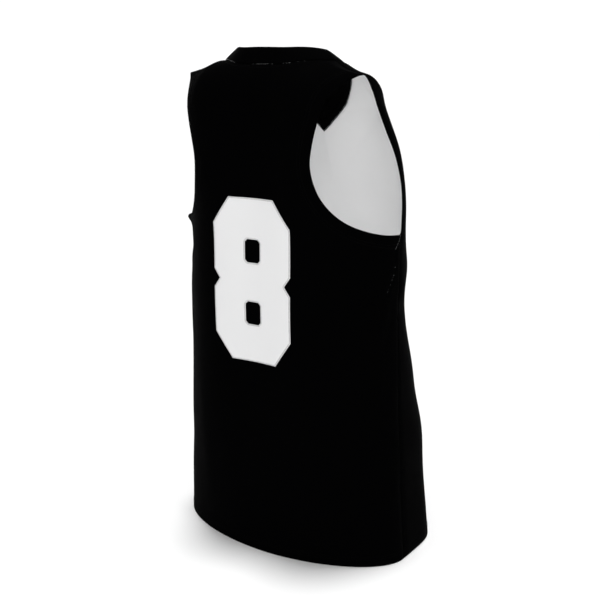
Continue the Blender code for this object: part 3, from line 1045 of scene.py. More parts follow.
def grid_faces(rows: int, columns: int) -> tuple[list[list[int]], list[int]]:
    """Number the quads and the rim of a grid of points.

    Args:
        rows: Rows of points.
        columns: Points in a row.

    Returns:
        The quads row by row, and the point numbers right round the rim.
    """
    quads = [
        [i * columns + j, (i + 1) * columns + j, (i + 1) * columns + j + 1, i * columns + j + 1]
        for i, j in product(range(rows - 1), range(columns - 1))
    ]
    bottom = list(range(columns - 1))
    right = [i * columns + columns - 1 for i in range(rows - 1)]
    top = [(rows - 1) * columns + j for j in range(columns - 1, 0, -1)]
    left = [i * columns for i in range(rows - 1, 0, -1)]
    return quads, bottom + right + top + left


def dress(
    piece: bpy.types.Object, replaces: Sequence[str] = (),
) -> bpy.types.Object:
    """Put a finished piece on the frame.

    Args:
        piece: The piece.
        replaces: CAD nodes that the piece stands for.

    Returns:
        The same piece.
    """
    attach(piece, ROOT)
    if replaces:
        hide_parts(*replaces)
    count = sum(len(face.vertices) - 2 for face in piece.data.polygons)
    log.info("%s: %d triangles", piece.name, count)
    return piece


# ---------------------------------------------------------------- stitches
class StitchLook(NamedTuple):
    """Size and spacing of one row of stitches, and the share of them that is sewn."""

    pitch: float
    length: float
    radius: float
    keep: float


def stitch_look(pitch: float, length: float, radius: float, keep: float = 1.0) -> StitchLook:
    """A look from sizes in millimetres."""
    return StitchLook(pitch * MILLIMETRE, length * MILLIMETRE, radius * MILLIMETRE, keep)


TWIN_NEEDLE = stitch_look(2.9, 2.3, 0.24)
SATIN = stitch_look(0.75, 1.9, 0.34)
PEEKING = stitch_look(2.6, 3.0, 0.12)
SLIT = stitch_look(2.6, 3.0, 0.13)
SPECKS = stitch_look(2.8, 1.2, 0.13, 0.8)
OVERLOCK = stitch_look(1.3, 2.8, 0.26, 0.85)
# Share of a stitch's length that the short path of a single stitch has.
STUB = 0.2


def stitches_across(
    line: np.ndarray, side: np.ndarray, look: StitchLook, slant: float, stray: float,
) -> list[np.ndarray]:
    """Short paths for single stitches that lie across a line.

    Args:
        line: The line, as points.
        side: Direction across it at each point.
        look: Size and spacing of the stitches.
        slant: How far the stitches lean along the line, left and right in turn.
        stray: How unevenly they reach across the line, in metres.

    Returns:
        One short path for each stitch, from the stitch's middle.
    """
    rng = np.random.default_rng(len(line))
    at = lengths_along(line)
    spots = np.arange(0.5 * look.pitch, at[-1], look.pitch)
    middle, across = read_off(line, at, spots), unit(read_off(side, at, spots))
    lean = slant * (-1.0) ** np.arange(len(spots))[:, None]
    run = unit(np.gradient(middle, axis=0))
    middle = middle + rng.normal(0.0, stray, len(spots))[:, None] * across
    ends = middle + STUB * look.length * unit(across + lean * run)
    return [np.stack(pair) for pair in zip(middle, ends)]


@dataclass
class StitchMaker:
    """Geometry Nodes tree that lays stitches along the edges of a path mesh."""

    segments: int = 6
    rings: int = 4
    spread: tuple[float, float] = (0.82, 1.06)
    tree: bpy.types.NodeTree = field(init=False)
    sockets: dict[str, str] = field(init=False, default_factory=dict)

    def __post_init__(self) -> None:
        """Build the tree once."""
        self.tree = bpy.data.node_groups.new("row_of_stitches", "GeometryNodeTree")
        face = self.tree.interface
        face.new_socket(name="Path", in_out="INPUT", socket_type="NodeSocketGeometry")
        for name, kind in (
            ("Pitch", "NodeSocketFloat"), ("Length", "NodeSocketFloat"),
            ("Radius", "NodeSocketFloat"), ("Keep", "NodeSocketFloat"),
            ("Seed", "NodeSocketInt"), ("Thread", "NodeSocketMaterial"),
        ):
            item = face.new_socket(name=name, in_out="INPUT", socket_type=kind)
            self.sockets[name] = item.identifier
        face.new_socket(name="Stitches", in_out="OUTPUT", socket_type="NodeSocketGeometry")
        self._fill()

    def _add(self, kind: str, **settings: object) -> bpy.types.Node:
        """Add a node.

        Args:
            kind: The node's type.
            settings: Its properties.

        Returns:
            The node.
        """
        node = self.tree.nodes.new(kind)
        for key, value in settings.items():
            setattr(node, key, value)
        return node

    def _fill(self) -> None:
        """Wire the tree: path to points, a stitch on each, realized and dressed."""
        inlet, outlet = self._add("NodeGroupInput"), self._add("NodeGroupOutput")
        curve = self._add("GeometryNodeMeshToCurve")
        spots = self._add("GeometryNodeCurveToPoints", mode="LENGTH")
        bead = self._add("GeometryNodeMeshUVSphere")
        half = self._add("ShaderNodeMath", operation="MULTIPLY")
        size = self._add("ShaderNodeCombineXYZ")
        stretch = self._add("GeometryNodeTransform")
        chance = self._add("FunctionNodeRandomValue", data_type="BOOLEAN")
        vary = self._add("FunctionNodeRandomValue", data_type="FLOAT")
        lay = self._add("GeometryNodeInstanceOnPoints")
        real = self._add("GeometryNodeRealizeInstances")
        dressed = self._add("GeometryNodeSetMaterial")

        least, most = [socket for socket in vary.inputs if socket.type == "VALUE"][:2]
        for socket, value in (
            (bead.inputs["Segments"], self.segments), (bead.inputs["Rings"], self.rings),
            (bead.inputs["Radius"], 1.0), (half.inputs[1], 0.5),
            (least, self.spread[0]), (most, self.spread[1]),
        ):
            socket.default_value = value
        varied = next(socket for socket in vary.outputs if socket.type == "VALUE")
        kept = next(socket for socket in chance.outputs if socket.type == "BOOLEAN")

        for source, target in (
            (inlet.outputs["Path"], curve.inputs["Mesh"]),
            (curve.outputs["Curve"], spots.inputs["Curve"]),
            (inlet.outputs["Pitch"], spots.inputs["Length"]),
            (inlet.outputs["Length"], half.inputs[0]),
            (inlet.outputs["Radius"], size.inputs["X"]),
            (inlet.outputs["Radius"], size.inputs["Y"]),
            (half.outputs[0], size.inputs["Z"]),
            (bead.outputs["Mesh"], stretch.inputs["Geometry"]),
            (size.outputs[0], stretch.inputs["Scale"]),
            (inlet.outputs["Keep"], chance.inputs["Probability"]),
            (inlet.outputs["Seed"], chance.inputs["Seed"]),
            (inlet.outputs["Seed"], vary.inputs["Seed"]),
            (spots.outputs["Points"], lay.inputs["Points"]),
            (kept, lay.inputs["Selection"]),
            (stretch.outputs["Geometry"], lay.inputs["Instance"]),
            (spots.outputs["Rotation"], lay.inputs["Rotation"]),
            (varied, lay.inputs["Scale"]),
            (lay.outputs["Instances"], real.inputs["Geometry"]),
            (real.outputs["Geometry"], dressed.inputs["Geometry"]),
            (inlet.outputs["Thread"], dressed.inputs["Material"]),
            (dressed.outputs["Geometry"], outlet.inputs["Stitches"]),
        ):
            self.tree.links.new(source, target)

    def sew(
        self, name: str, paths: Sequence[np.ndarray], look: StitchLook,
        thread: bpy.types.Material, seed: int,
    ) -> bpy.types.Object:
        """Sew rows of stitches along open paths.

        Args:
            name: Name of the piece.
            paths: Lines of points that the rows follow.
            look: Size and spacing of the stitches.
            thread: Finish of the thread.
            seed: Seed of the small unevenness.

        Returns:
            The stitches as one plain mesh piece.
        """
        points = np.concatenate(list(paths))
        edges, start = [], 0
        for path in paths:
            edges += [(start + k, start + k + 1) for k in range(len(path) - 1)]
            start += len(path)
        mesh = bpy.data.meshes.new(name + "_path")
        mesh.from_pydata(points.tolist(), edges, [])
        rail = placed(name + "_path", mesh)
        sewing = rail.modifiers.new("sewing", "NODES")
        sewing.node_group = self.tree
        values = {
            "Pitch": look.pitch, "Length": look.length, "Radius": look.radius,
            "Keep": look.keep, "Seed": seed, "Thread": thread,
        }
        for key, value in values.items():
            sewing[self.sockets[key]] = value
        graph = bpy.context.evaluated_depsgraph_get()
        made = bpy.data.meshes.new_from_object(rail.evaluated_get(graph))
        rail.modifiers.remove(sewing)
        bpy.data.objects.remove(rail)
        made.name = name
        made.shade_smooth()
        return placed(name, made)


# ---------------------------------------------------------------- panels
class SeamPoint(NamedTuple):
    """Point of a side seam: height, and angle round the body from the side."""

    height: float
    drift: float


# The drag of the cloth makes the side seams wander towards the back under the arms,
# and the left one less than the right one.
LEFT_DRIFT = 0.6
SIDE_SEAM = (
    SeamPoint(-0.2020, 0.0), SeamPoint(-0.2100, 2.6), SeamPoint(-0.2200, 6.0),
    SeamPoint(-0.2320, 6.0), SeamPoint(-0.2430, 5.6), SeamPoint(-0.2560, 9.5),
    SeamPoint(-0.2700, 13.5), SeamPoint(-0.2900, 9.0), SeamPoint(-0.3150, -4.0),
    SeamPoint(-0.3500, -4.0), SeamPoint(-0.3900, -0.5), SeamPoint(-0.5000, 1.0),
    SeamPoint(-0.6230, 0.0),
)


def side_seam_angle(z: np.ndarray, side: float) -> np.ndarray:
    """Angle of a side seam round the body at heights z, in degrees.

    Args:
        z: The heights.
        side: -1 for the wearer's right seam, +1 for the left one.

    Returns:
        The angles from the centre back, with the wearer's left positive.
    """
    table = np.array(SIDE_SEAM)[::-1]
    drift = through(table[:, 0], table[:, 1], z)
    return side * (90.0 - drift * (1.0 if side < 0.0 else LEFT_DRIFT))


def side_seam(side: float, count: int = 160) -> np.ndarray:
    """A side seam on the body form.

    Args:
        side: -1 for the wearer's right seam, +1 for the left one.
        count: Number of points.

    Returns:
        Points from the underarm down.
    """
    z = np.linspace(LAYOUT.underarm, LAYOUT.hem, count)
    angle = np.abs(side_seam_angle(z, side))
    turn = np.radians(np.minimum(angle, 180.0 - angle))
    points = [
        (FRONT_FORM if round_body > 90.0 else BACK_FORM).points(turn[k : k + 1], z[k : k + 1])
        for k, round_body in enumerate(angle)
    ]
    return np.concatenate(points) * np.array([side, 1.0, 1.0])


class Edge(Enum):
    """Which edges of a panel are turned in and stitched."""

    HEM = "hem"
    ARMHOLES = "armholes"


class Groove(NamedTuple):
    """Soft groove along a line of sewing."""

    depth: float
    half_width: float

    def sunk(self, away: np.ndarray) -> np.ndarray:
        """Depth of the groove at distances from its line."""
        return self.depth * np.exp(-((away / self.half_width) ** 2))


@dataclass
class PanelCloth:
    """Front or back panel as a thin two-faced shell with turned, stitched edges.

    A turned edge stands out by the turn's height, down to its end, which slopes
    from `turn_slope` before the stitches to beyond them.
    """

    name: str
    node: str
    form: BodyForm
    wardrobe: Wardrobe
    cloth: float = 1.3 * MILLIMETRE
    hem_turn: float = 13.0 * MILLIMETRE
    arm_turn: float = 14.5 * MILLIMETRE
    needle_gap: float = 3.4 * MILLIMETRE
    turn_height: float = 0.35 * MILLIMETRE
    turn_slope: tuple[float, float] = (1.0 * MILLIMETRE, 2.5 * MILLIMETRE)
    needle_groove: Groove = Groove(0.30 * MILLIMETRE, 1.1 * MILLIMETRE)
    side_groove: Groove = Groove(0.9 * MILLIMETRE, 2.2 * MILLIMETRE)
    neck_groove: Groove = Groove(0.7 * MILLIMETRE, 2.4 * MILLIMETRE)
    calm: tuple[float, float] = (0.004, 0.030)
    bulge: float = 0.45
    outer: np.ndarray = field(init=False)
    inner: np.ndarray = field(init=False)
    normals: np.ndarray = field(init=False)
    angles: np.ndarray = field(init=False)
    uv: np.ndarray = field(init=False)

    def __post_init__(self) -> None:
        """Work out the shell's points."""
        base = self.form.grid()
        flat_normals = self.seam_plane(base, grid_normals(base, self.form.sign))
        angle, z = self.form.girth_angle(base), base[..., 2]
        shown = base + swell(angle, z, MAIN_FOLDS)[..., None] * flat_normals
        normals = self.seam_plane(shown, grid_normals(shown, self.form.sign))
        fine = swell(angle, z, SOFT_FOLDS) * self.free(base)
        shown = shown + (fine + self.edge_relief(shown))[..., None] * normals
        self.outer = shown
        self.normals = self.seam_plane(shown, grid_normals(shown, self.form.sign))
        pinched = self.cloth * (1.0 - swell(angle, z, (LEFT_PINCH,)))
        self.inner = shown - pinched[..., None] * self.normals
        self.angles = angle
        self.uv = self.flat_map()

    @property
    def rows(self) -> int:
        """Rows of points."""
        return self.outer.shape[0]

    @property
    def columns(self) -> int:
        """Columns of points."""
        return self.outer.shape[1]

    @staticmethod
    def seam_plane(grid: np.ndarray, normals: np.ndarray) -> np.ndarray:
        """Turn the normals along the seams into the plane that both panels share.

        Args:
            grid: Points of the face.
            normals: Its normals, which are changed in place.

        Returns:
            The same normals.
        """
        lay = LAYOUT
        sides = slice(0, lay.body_rows + 1)
        for column, outward in ((0, -1.0), (-1, 1.0)):
            up = np.gradient(grid[sides, column], axis=0)
            normals[sides, column] = unit(np.cross(DEPTH_AXIS, up) * outward)
        for strap in (slice(0, lay.strap_columns + 1), slice(-lay.strap_columns - 1, None)):
            run = np.gradient(grid[-1, strap], axis=0)
            normals[-1, strap] = unit(np.cross(run, DEPTH_AXIS))
        return normals

    def free(self, grid: np.ndarray) -> np.ndarray:
        """Share of the finer folds, with none at the neck and shoulder seams."""
        return smooth(distance_to(grid, grid[-1, ::2]), *self.calm)

    @staticmethod
    def arm_edges(grid: np.ndarray) -> np.ndarray:
        """Points of both armhole edges, from the underarm up."""
        return np.concatenate([grid[LAYOUT.body_rows :, column] for column in (0, -1)])

    def lifted(self, lift: float) -> np.ndarray:
        """The face's points, moved out."""
        return self.outer + lift * self.normals

    def edge_relief(self, grid: np.ndarray) -> np.ndarray:
        """Height of the turned edges, their stitch grooves and the rolled seams.

        Args:
            grid: Points of the face.

        Returns:
            How far each point moves out.
        """
        sides = np.concatenate([side_seam(side) for side in (-1.0, 1.0)])
        before, beyond = self.turn_slope
        relief = np.zeros(grid.shape[:2])
        for edge, turn in ((self.arm_edges(grid), self.arm_turn), (grid[0], self.hem_turn)):
            away = distance_to(grid, edge)
            relief += self.turn_height * (1.0 - smooth(away, turn - before, turn + beyond))
            for row in (turn - self.needle_gap, turn):
                relief -= self.needle_groove.sunk(away - row)
        relief -= self.side_groove.sunk(distance_to(grid, sides))
        relief -= self.neck_groove.sunk(distance_to(grid, grid[-1]))
        return relief

    def beyond_turning(self) -> np.ndarray:
        """How far each point lies beyond the turned edges, negative within them."""
        from_arm = distance_to(self.outer, self.arm_edges(self.outer)) - self.arm_turn
        return np.minimum(from_arm, distance_to(self.outer, self.outer[0]) - self.hem_turn)

    def flat_map(self) -> np.ndarray:
        """Measure the cloth along its own rows and columns.

        Returns:
            Metres across from the centre line and up from the hem, for each point.
        """
        across, up = lengths_along(self.outer, 1), lengths_along(self.outer, 0)
        return np.stack([across - across[:, [self.columns // 2]], up], -1)

    def folded_rim(self) -> np.ndarray:
        """Points halfway through the cloth, rounded out along the free edges.

        Returns:
            A grid of points, of which the rim is used.
        """
        grid, yoke = self.outer, slice(LAYOUT.body_rows + 1, -1)
        out = np.zeros_like(grid)
        out[0, 1:-1] = unit(grid[0, 1:-1] - grid[1, 1:-1])
        for edge, beside in ((0, 1), (-1, -2)):
            out[yoke, edge] = unit(grid[yoke, edge] - grid[yoke, beside])
        return (self.outer + self.inner) / 2.0 + self.bulge * self.cloth * out

    def build(self) -> bpy.types.Object:
        """Make the panel: dark face, pale reverse and a rounded fold at the rim.

        Returns:
            The piece.
        """
        rows, columns = self.rows, self.columns
        count = rows * columns
        quads, rim = grid_faces(rows, columns)
        points = np.concatenate([
            self.outer.reshape(-1, 3), self.inner.reshape(-1, 3),
            self.folded_rim().reshape(-1, 3)[rim],
        ])
        flat = self.uv.reshape(-1, 2)
        uv = np.concatenate([flat, flat, flat[rim]])
        reverse = [[count + k for k in reversed(quad)] for quad in quads]
        closed = rim + rim[:1]
        fold = list(range(2 * count, 2 * count + len(rim))) + [2 * count]
        outside = ring_faces(closed, fold)
        inside = ring_faces(fold, [count + k for k in closed])
        faces = quads + reverse + outside + inside
        if self.form.facing is Facing.FRONT:
            faces = [face[::-1] for face in faces]
        slots = [0] * len(quads) + [1] * len(reverse) + [0] * len(outside + inside)
        # The top row of the reverse is dark along the neck, where the band is sewn on.
        for j in range(LAYOUT.strap_columns, columns - 1 - LAYOUT.strap_columns):
            slots[2 * len(quads) - (columns - 1) + j] = 0
        piece = new_piece(
            self.name, points, faces, uv, (self.wardrobe.face, self.wardrobe.reverse), slots
        )
        beyond = self.beyond_turning().ravel()
        layer = piece.data.attributes.new(TURNING, "FLOAT", "POINT")
        layer.data.foreach_set("value", np.concatenate([beyond, beyond, beyond[rim]]))
        settle_normals(piece)
        return dress(piece, (self.node,))

    def line_at(self, away: float, edge: Edge, lift: float) -> list[np.ndarray]:
        """Lines on the face at a set distance from an edge.

        Args:
            away: Distance from the edge.
            edge: The edge.
            lift: How far the line stands off the face.

        Returns:
            One line for the hem, or one for each armhole.
        """
        lifted = self.lifted(lift)
        if edge is Edge.HEM:
            return [self.contour(np.swapaxes(lifted, 0, 1), lifted[0], away)]
        made = []
        for grid in (lifted, lifted[:, ::-1]):
            yoke, below = grid[LAYOUT.body_rows :], grid[LAYOUT.body_rows :: -1]
            near = np.swapaxes(below[:, : self.columns // 4], 0, 1)
            under = self.contour(near, yoke[:, 0], away)
            made.append(np.concatenate([under, self.contour(yoke, yoke[:, 0], away)]))
        return made

    def spot(self, angle: float, z: float) -> np.ndarray:
        """Find a place on the face below the underarm.

        Args:
            angle: Angle round the body from the centre back, in degrees.
            z: Height.

        Returns:
            The point there.
        """
        rows = slice(0, LAYOUT.body_rows + 1)
        column = np.array([
            [np.interp(angle, around[::step], row[::step, k]) for k in range(3)]
            for row, around in zip(self.outer[rows], self.angles[rows])
            for step in (1 if around[-1] > around[0] else -1,)
        ])
        return np.array([np.interp(z, column[:, 2], column[:, k]) for k in range(3)])

    @staticmethod
    def contour(lines: np.ndarray, edge: np.ndarray, away: float) -> np.ndarray:
        """Cross lines at a straight distance from an edge near their starts.

        Args:
            lines: The lines, as rows of points.
            edge: Points of the edge.
            away: The distance.

        Returns:
            A point of each line that reaches so far.
        """
        made = []
        for line in lines:
            reach = distance_to(line, edge)
            index = int(np.argmax(reach >= away))
            if reach[index] < away or index == 0:
                continue
            share = (away - reach[index - 1]) / (reach[index] - reach[index - 1])
            made.append(line[index - 1] + share * (line[index] - line[index - 1]))
        return np.array(made)


# ---------------------------------------------------------------- neckband
@dataclass
class SeamFrames:
    """Neck seam of one panel with the band's directions, centre to shoulder."""

    form: BodyForm
    count: int
    width: float
    seam: np.ndarray = field(init=False)
    run: np.ndarray = field(init=False)
    normal: np.ndarray = field(init=False)
    mitre: np.ndarray = field(init=False)

    def __post_init__(self) -> None:
        """Work out the frames."""
        form = self.form
        self.seam = form.neck_curve(self.count)
        tangent = unit(np.gradient(self.seam, axis=0))
        x, z = self.seam[:, 0], self.seam[:, 2]
        slope_x = (form.depth(x + NUDGE, z) - form.depth(x, z)) / NUDGE
        slope_z = (form.depth(x, z) - form.depth(x, z - NUDGE)) / NUDGE
        normal = unit(np.stack([-slope_x, np.ones_like(x), -slope_z], 1) * form.sign)
        tip = np.array([SHOULDER.neck_half, SHOULDER.neck_half + NUDGE])
        ridge_y, ridge_z = SHOULDER.ridge(tip)
        ridge_run = np.array([NUDGE, ridge_y[1] - ridge_y[0], ridge_z[1] - ridge_z[0]])
        normal[-1] = unit(np.cross(ridge_run, DEPTH_AXIS))
        normal[-1] *= np.sign(normal[-1, 2])
        inward = unit(np.cross(normal, tangent) * form.sign)
        inward *= np.where(inward[:, 2:] < 0.0, -1.0, 1.0)
        spots = np.linspace(0, 2, len(self.seam))
        lift = np.radians(np.interp(spots, range(3), form.band_lift))[:, None]
        band_normal = np.cos(lift) * normal - np.sin(lift) * inward
        self.run = np.cos(lift) * inward + np.sin(lift) * normal
        self.normal = normal
        self.mitre = unit(normal + band_normal) / np.cos(lift / 2.0)
        self.mitre[0, 0] = 0.0

    def folded_edge(self) -> np.ndarray:
        """The band's folded edge, cut off where it crosses the centre line.

        Returns:
            As many points as the seam has, evenly from the centre to the shoulder.
        """
        edge = self.seam + self.width * self.run
        inside = np.flatnonzero(edge[:, 0] < 0.0)
        first = int(inside[-1]) if len(inside) else 0
        if len(inside):
            share = -edge[first, 0] / (edge[first + 1, 0] - edge[first, 0])
            edge[first] += share * (edge[first + 1] - edge[first])
        edge[first, 0] = 0.0
        return evenly(edge[first:], np.linspace(0.0, 1.0, len(edge)))


@dataclass
class Neckband:
    """Rib band folded double round the neck, with a mitre at the V.

    The band crowns between its seam and its fold, and rolls in at the seam.
    """

    wardrobe: Wardrobe
    width: float = 0.0195
    cloth: float = 2.2 * MILLIMETRE
    gap: float = 0.15 * MILLIMETRE
    crown: float = 0.25 * MILLIMETRE
    roll: float = 0.5 * MILLIMETRE
    roll_width: float = 1.6 * MILLIMETRE
    line_gap: float = 2.4 * MILLIMETRE
    knots: int = 9
    stations: int = 90
    flat_steps: int = 8
    fold_steps: int = 6

    def rails(self) -> tuple[np.ndarray, np.ndarray, np.ndarray, np.ndarray]:
        """Work out the lines that the band follows from the centre back to the V.

        Returns:
            The seam, its mitre directions, the folded edge and the band's normals.
        """
        back = SeamFrames(BACK_FORM, self.knots, self.width)
        front = SeamFrames(FRONT_FORM, self.knots, self.width)
        shoulder = (back.mitre[-1] + front.mitre[-1]) / 2.0
        back.run[-1] = front.run[-1] = unit(back.run[-2] + front.run[-2])
        lines = []
        for half in (back, front):
            half.mitre[-1] = shoulder
            seam = half.form.neck_curve(self.stations)
            lines.append((seam, self.between(half.mitre), self.between(half.folded_edge())))
        seam, mitre, edge = (
            np.concatenate([first, second[-2::-1]]) for first, second in zip(*lines)
        )
        run = unit(edge - seam)
        normal = unit(np.cross(run, np.gradient(seam, axis=0)))
        normal *= np.sign(np.sum(normal * mitre, axis=1))[:, None]
        normal[0, 0] = normal[-1, 0] = 0.0
        return seam, mitre, edge, unit(normal)

    def between(self, knots: np.ndarray) -> np.ndarray:
        """Draw smooth values through a few even knots.

        Args:
            knots: Values at the knots.

        Returns:
            Values at the band's stations.
        """
        spots = np.linspace(0.0, 1.0, len(knots))
        fine = np.linspace(0.0, 1.0, self.stations + 1)
        return np.stack([through(spots, knots[:, k], fine) for k in range(3)], 1)

    def section(self) -> list[np.ndarray]:
        """Lay out the band's section.

        Returns:
            Lines round the section, from the seam over the fold and back inside.
        """
        seam, mitre, edge, normal = self.rails()
        run = unit(edge - seam)
        half = self.cloth / 2.0
        foot = seam + self.gap * run
        flat = edge - half * run - foot
        lines = []
        for share in np.linspace(0.0, 1.0, self.flat_steps, endpoint=False):
            crown = self.crown * math.sin(math.pi * share)
            roll = -self.roll * math.exp(-((share * self.width / self.roll_width) ** 2))
            lines.append(foot + share * flat + (crown + roll) * normal)
        centre = edge - half * run - half * normal
        for turn in np.radians(np.linspace(90.0, -90.0, self.fold_steps + 1)):
            lines.append(centre + half * (math.cos(turn) * run + math.sin(turn) * normal))
        for share in np.linspace(1.0, 0.0, self.flat_steps, endpoint=False)[1:]:
            lines.append(foot + share * flat - self.cloth * normal)
        lines.append(foot - self.cloth * mitre)
        return lines

    def build(self) -> bpy.types.Object:
        """Make the band as one closed ring.

        Returns:
            The piece.
        """
        full = [np.concatenate([line, line[-2:0:-1] * MIRROR]) for line in self.section()]
        around = len(full[0])
        along = lengths_along(np.concatenate([full[0], full[0][:1]]))[:-1]
        uv = np.concatenate([
            np.stack([along, np.full(around, k * self.line_gap)], 1) for k in range(len(full))
        ])
        rings = [[k * around + j % around for j in range(around + 1)] for k in range(len(full))]
        faces = []
        for here, there in zip(rings, rings[1:] + rings[:1]):
            faces += ring_faces(here, there)
        piece = new_piece("neck_rib", np.concatenate(full), faces, uv, (self.wardrobe.rib,))
        settle_normals(piece)
        return dress(piece, ("neckband",))

    def half_rails(self, facing: Facing, steps: int) -> list[np.ndarray]:
        """Read the band's lines over one panel, evenly from the centre to the shoulder.

        Args:
            facing: Which panel.
            steps: Number of even steps.

        Returns:
            The seam, the directions up the band, the mitres and the normals.
        """
        seam, mitre, edge, normal = self.rails()
        spots = np.linspace(0.0, self.stations, steps + 1)
        made = []
        for line in (seam, unit(edge - seam), mitre, normal):
            half = line if facing is Facing.BACK else line[::-1]
            made.append(read_off(half, np.arange(len(half)), spots))
        return made


@dataclass
class NeckAllowance:
    """Overlocked seam allowance of the band, lying flat inside the neck.

    In the front its width changes by the shares, from the V to the shoulder.  Its
    upper edge laps over the band's inner face, so that the seam has no slit.
    """

    wardrobe: Wardrobe
    band: Neckband
    width: float = 6.0 * MILLIMETRE
    shares: tuple[float, ...] = (1.66, 1.12, 0.58, 0.30, 0.42)
    least_slope: float = 0.2
    fray: float = 0.20 * MILLIMETRE
    thread_lift: float = 0.15 * MILLIMETRE
    overlap: float = 2.0 * MILLIMETRE
    cloth: float = 0.9 * MILLIMETRE
    clear: float = 0.25 * MILLIMETRE
    steps: int = 5
    seed: int = 7

    def half(self, panel: PanelCloth) -> tuple[np.ndarray, np.ndarray]:
        """Upper and lower points for half a panel, centre to shoulder.

        Args:
            panel: The panel that the allowance lies on.

        Returns:
            Points of both sides, a line for each column from over the band down.
        """
        middle = panel.columns // 2
        neck = LAYOUT.neck_columns
        columns = slice(middle, middle + neck + 1)
        inner, normal = panel.inner[::-1, columns], panel.normals[::-1, columns]
        lines, normals = [], []
        seam_run = unit(np.gradient(inner[0], axis=0))
        share = np.ones(neck + 1)
        if panel.form.facing is Facing.FRONT:
            knots = np.linspace(0.0, neck, len(self.shares))
            share = through(knots, np.array(self.shares), np.arange(neck + 1.0))
        for j in range(neck + 1):
            line, along = inner[:, j], lengths_along(inner[:, j])
            slant = float(np.dot(unit(line[1] - line[0]), seam_run[j]))
            reach = self.width * share[j] / math.sqrt(max(1.0 - slant**2, self.least_slope))
            spots = np.linspace(0.0, reach, self.steps + 1)
            lines.append(read_off(line, along, spots))
            normals.append(read_off(normal[:, j], along, spots))
        line, outward = np.array(lines), unit(np.array(normals))
        upper = line - self.clear * outward
        lower = upper - self.cloth * outward
        seam, run, mitre, normal = self.band.half_rails(panel.form.facing, neck)
        under = self.band.cloth + self.clear
        upper[:, 0], lower[:, 0] = (seam - away * mitre for away in (under, under + self.cloth))
        foot = seam + self.overlap * run
        upper, lower = (
            np.concatenate([(foot - away * normal)[:, None], side], axis=1)
            for away, side in ((under, upper), (under + self.cloth, lower))
        )
        return upper, lower

    def build(
        self, panel: PanelCloth, name: str,
    ) -> tuple[bpy.types.Object, tuple[np.ndarray, np.ndarray]]:
        """Make one panel's allowance.

        Args:
            panel: The panel that it lies on.
            name: Name of the piece.

        Returns:
            The piece, and its free edge with the outward direction there.
        """
        upper, lower = (
            np.concatenate([side[:0:-1] * MIRROR, side]) for side in self.half(panel)
        )
        count, steps = upper.shape[:2]
        rng = np.random.default_rng(self.seed)
        frayed = rng.normal(0.0, self.fray, count)[:, None]
        away = unit(upper[:, -1] - upper[:, -2])
        for side in (upper, lower):
            side[:, -1] += frayed * away
        points = np.concatenate([upper.reshape(-1, 3), lower.reshape(-1, 3)])
        size = count * steps
        quads, rim = grid_faces(count, steps)
        closed = rim + rim[:1]
        faces = quads + [[size + k for k in reversed(quad)] for quad in quads]
        faces += ring_faces(closed, [size + k for k in closed])
        along = lengths_along(upper[:, 0])
        flat = np.stack(np.meshgrid(along, np.linspace(0, self.width, steps), indexing="ij"), -1)
        uv = np.concatenate([flat.reshape(-1, 2)] * 2)
        piece = new_piece(name, points, faces, uv, (self.wardrobe.rib,))
        settle_normals(piece)
        under = unit(lower[:, -1] - upper[:, -1])
        return dress(piece), (lower[:, -1] + self.thread_lift * under, away)


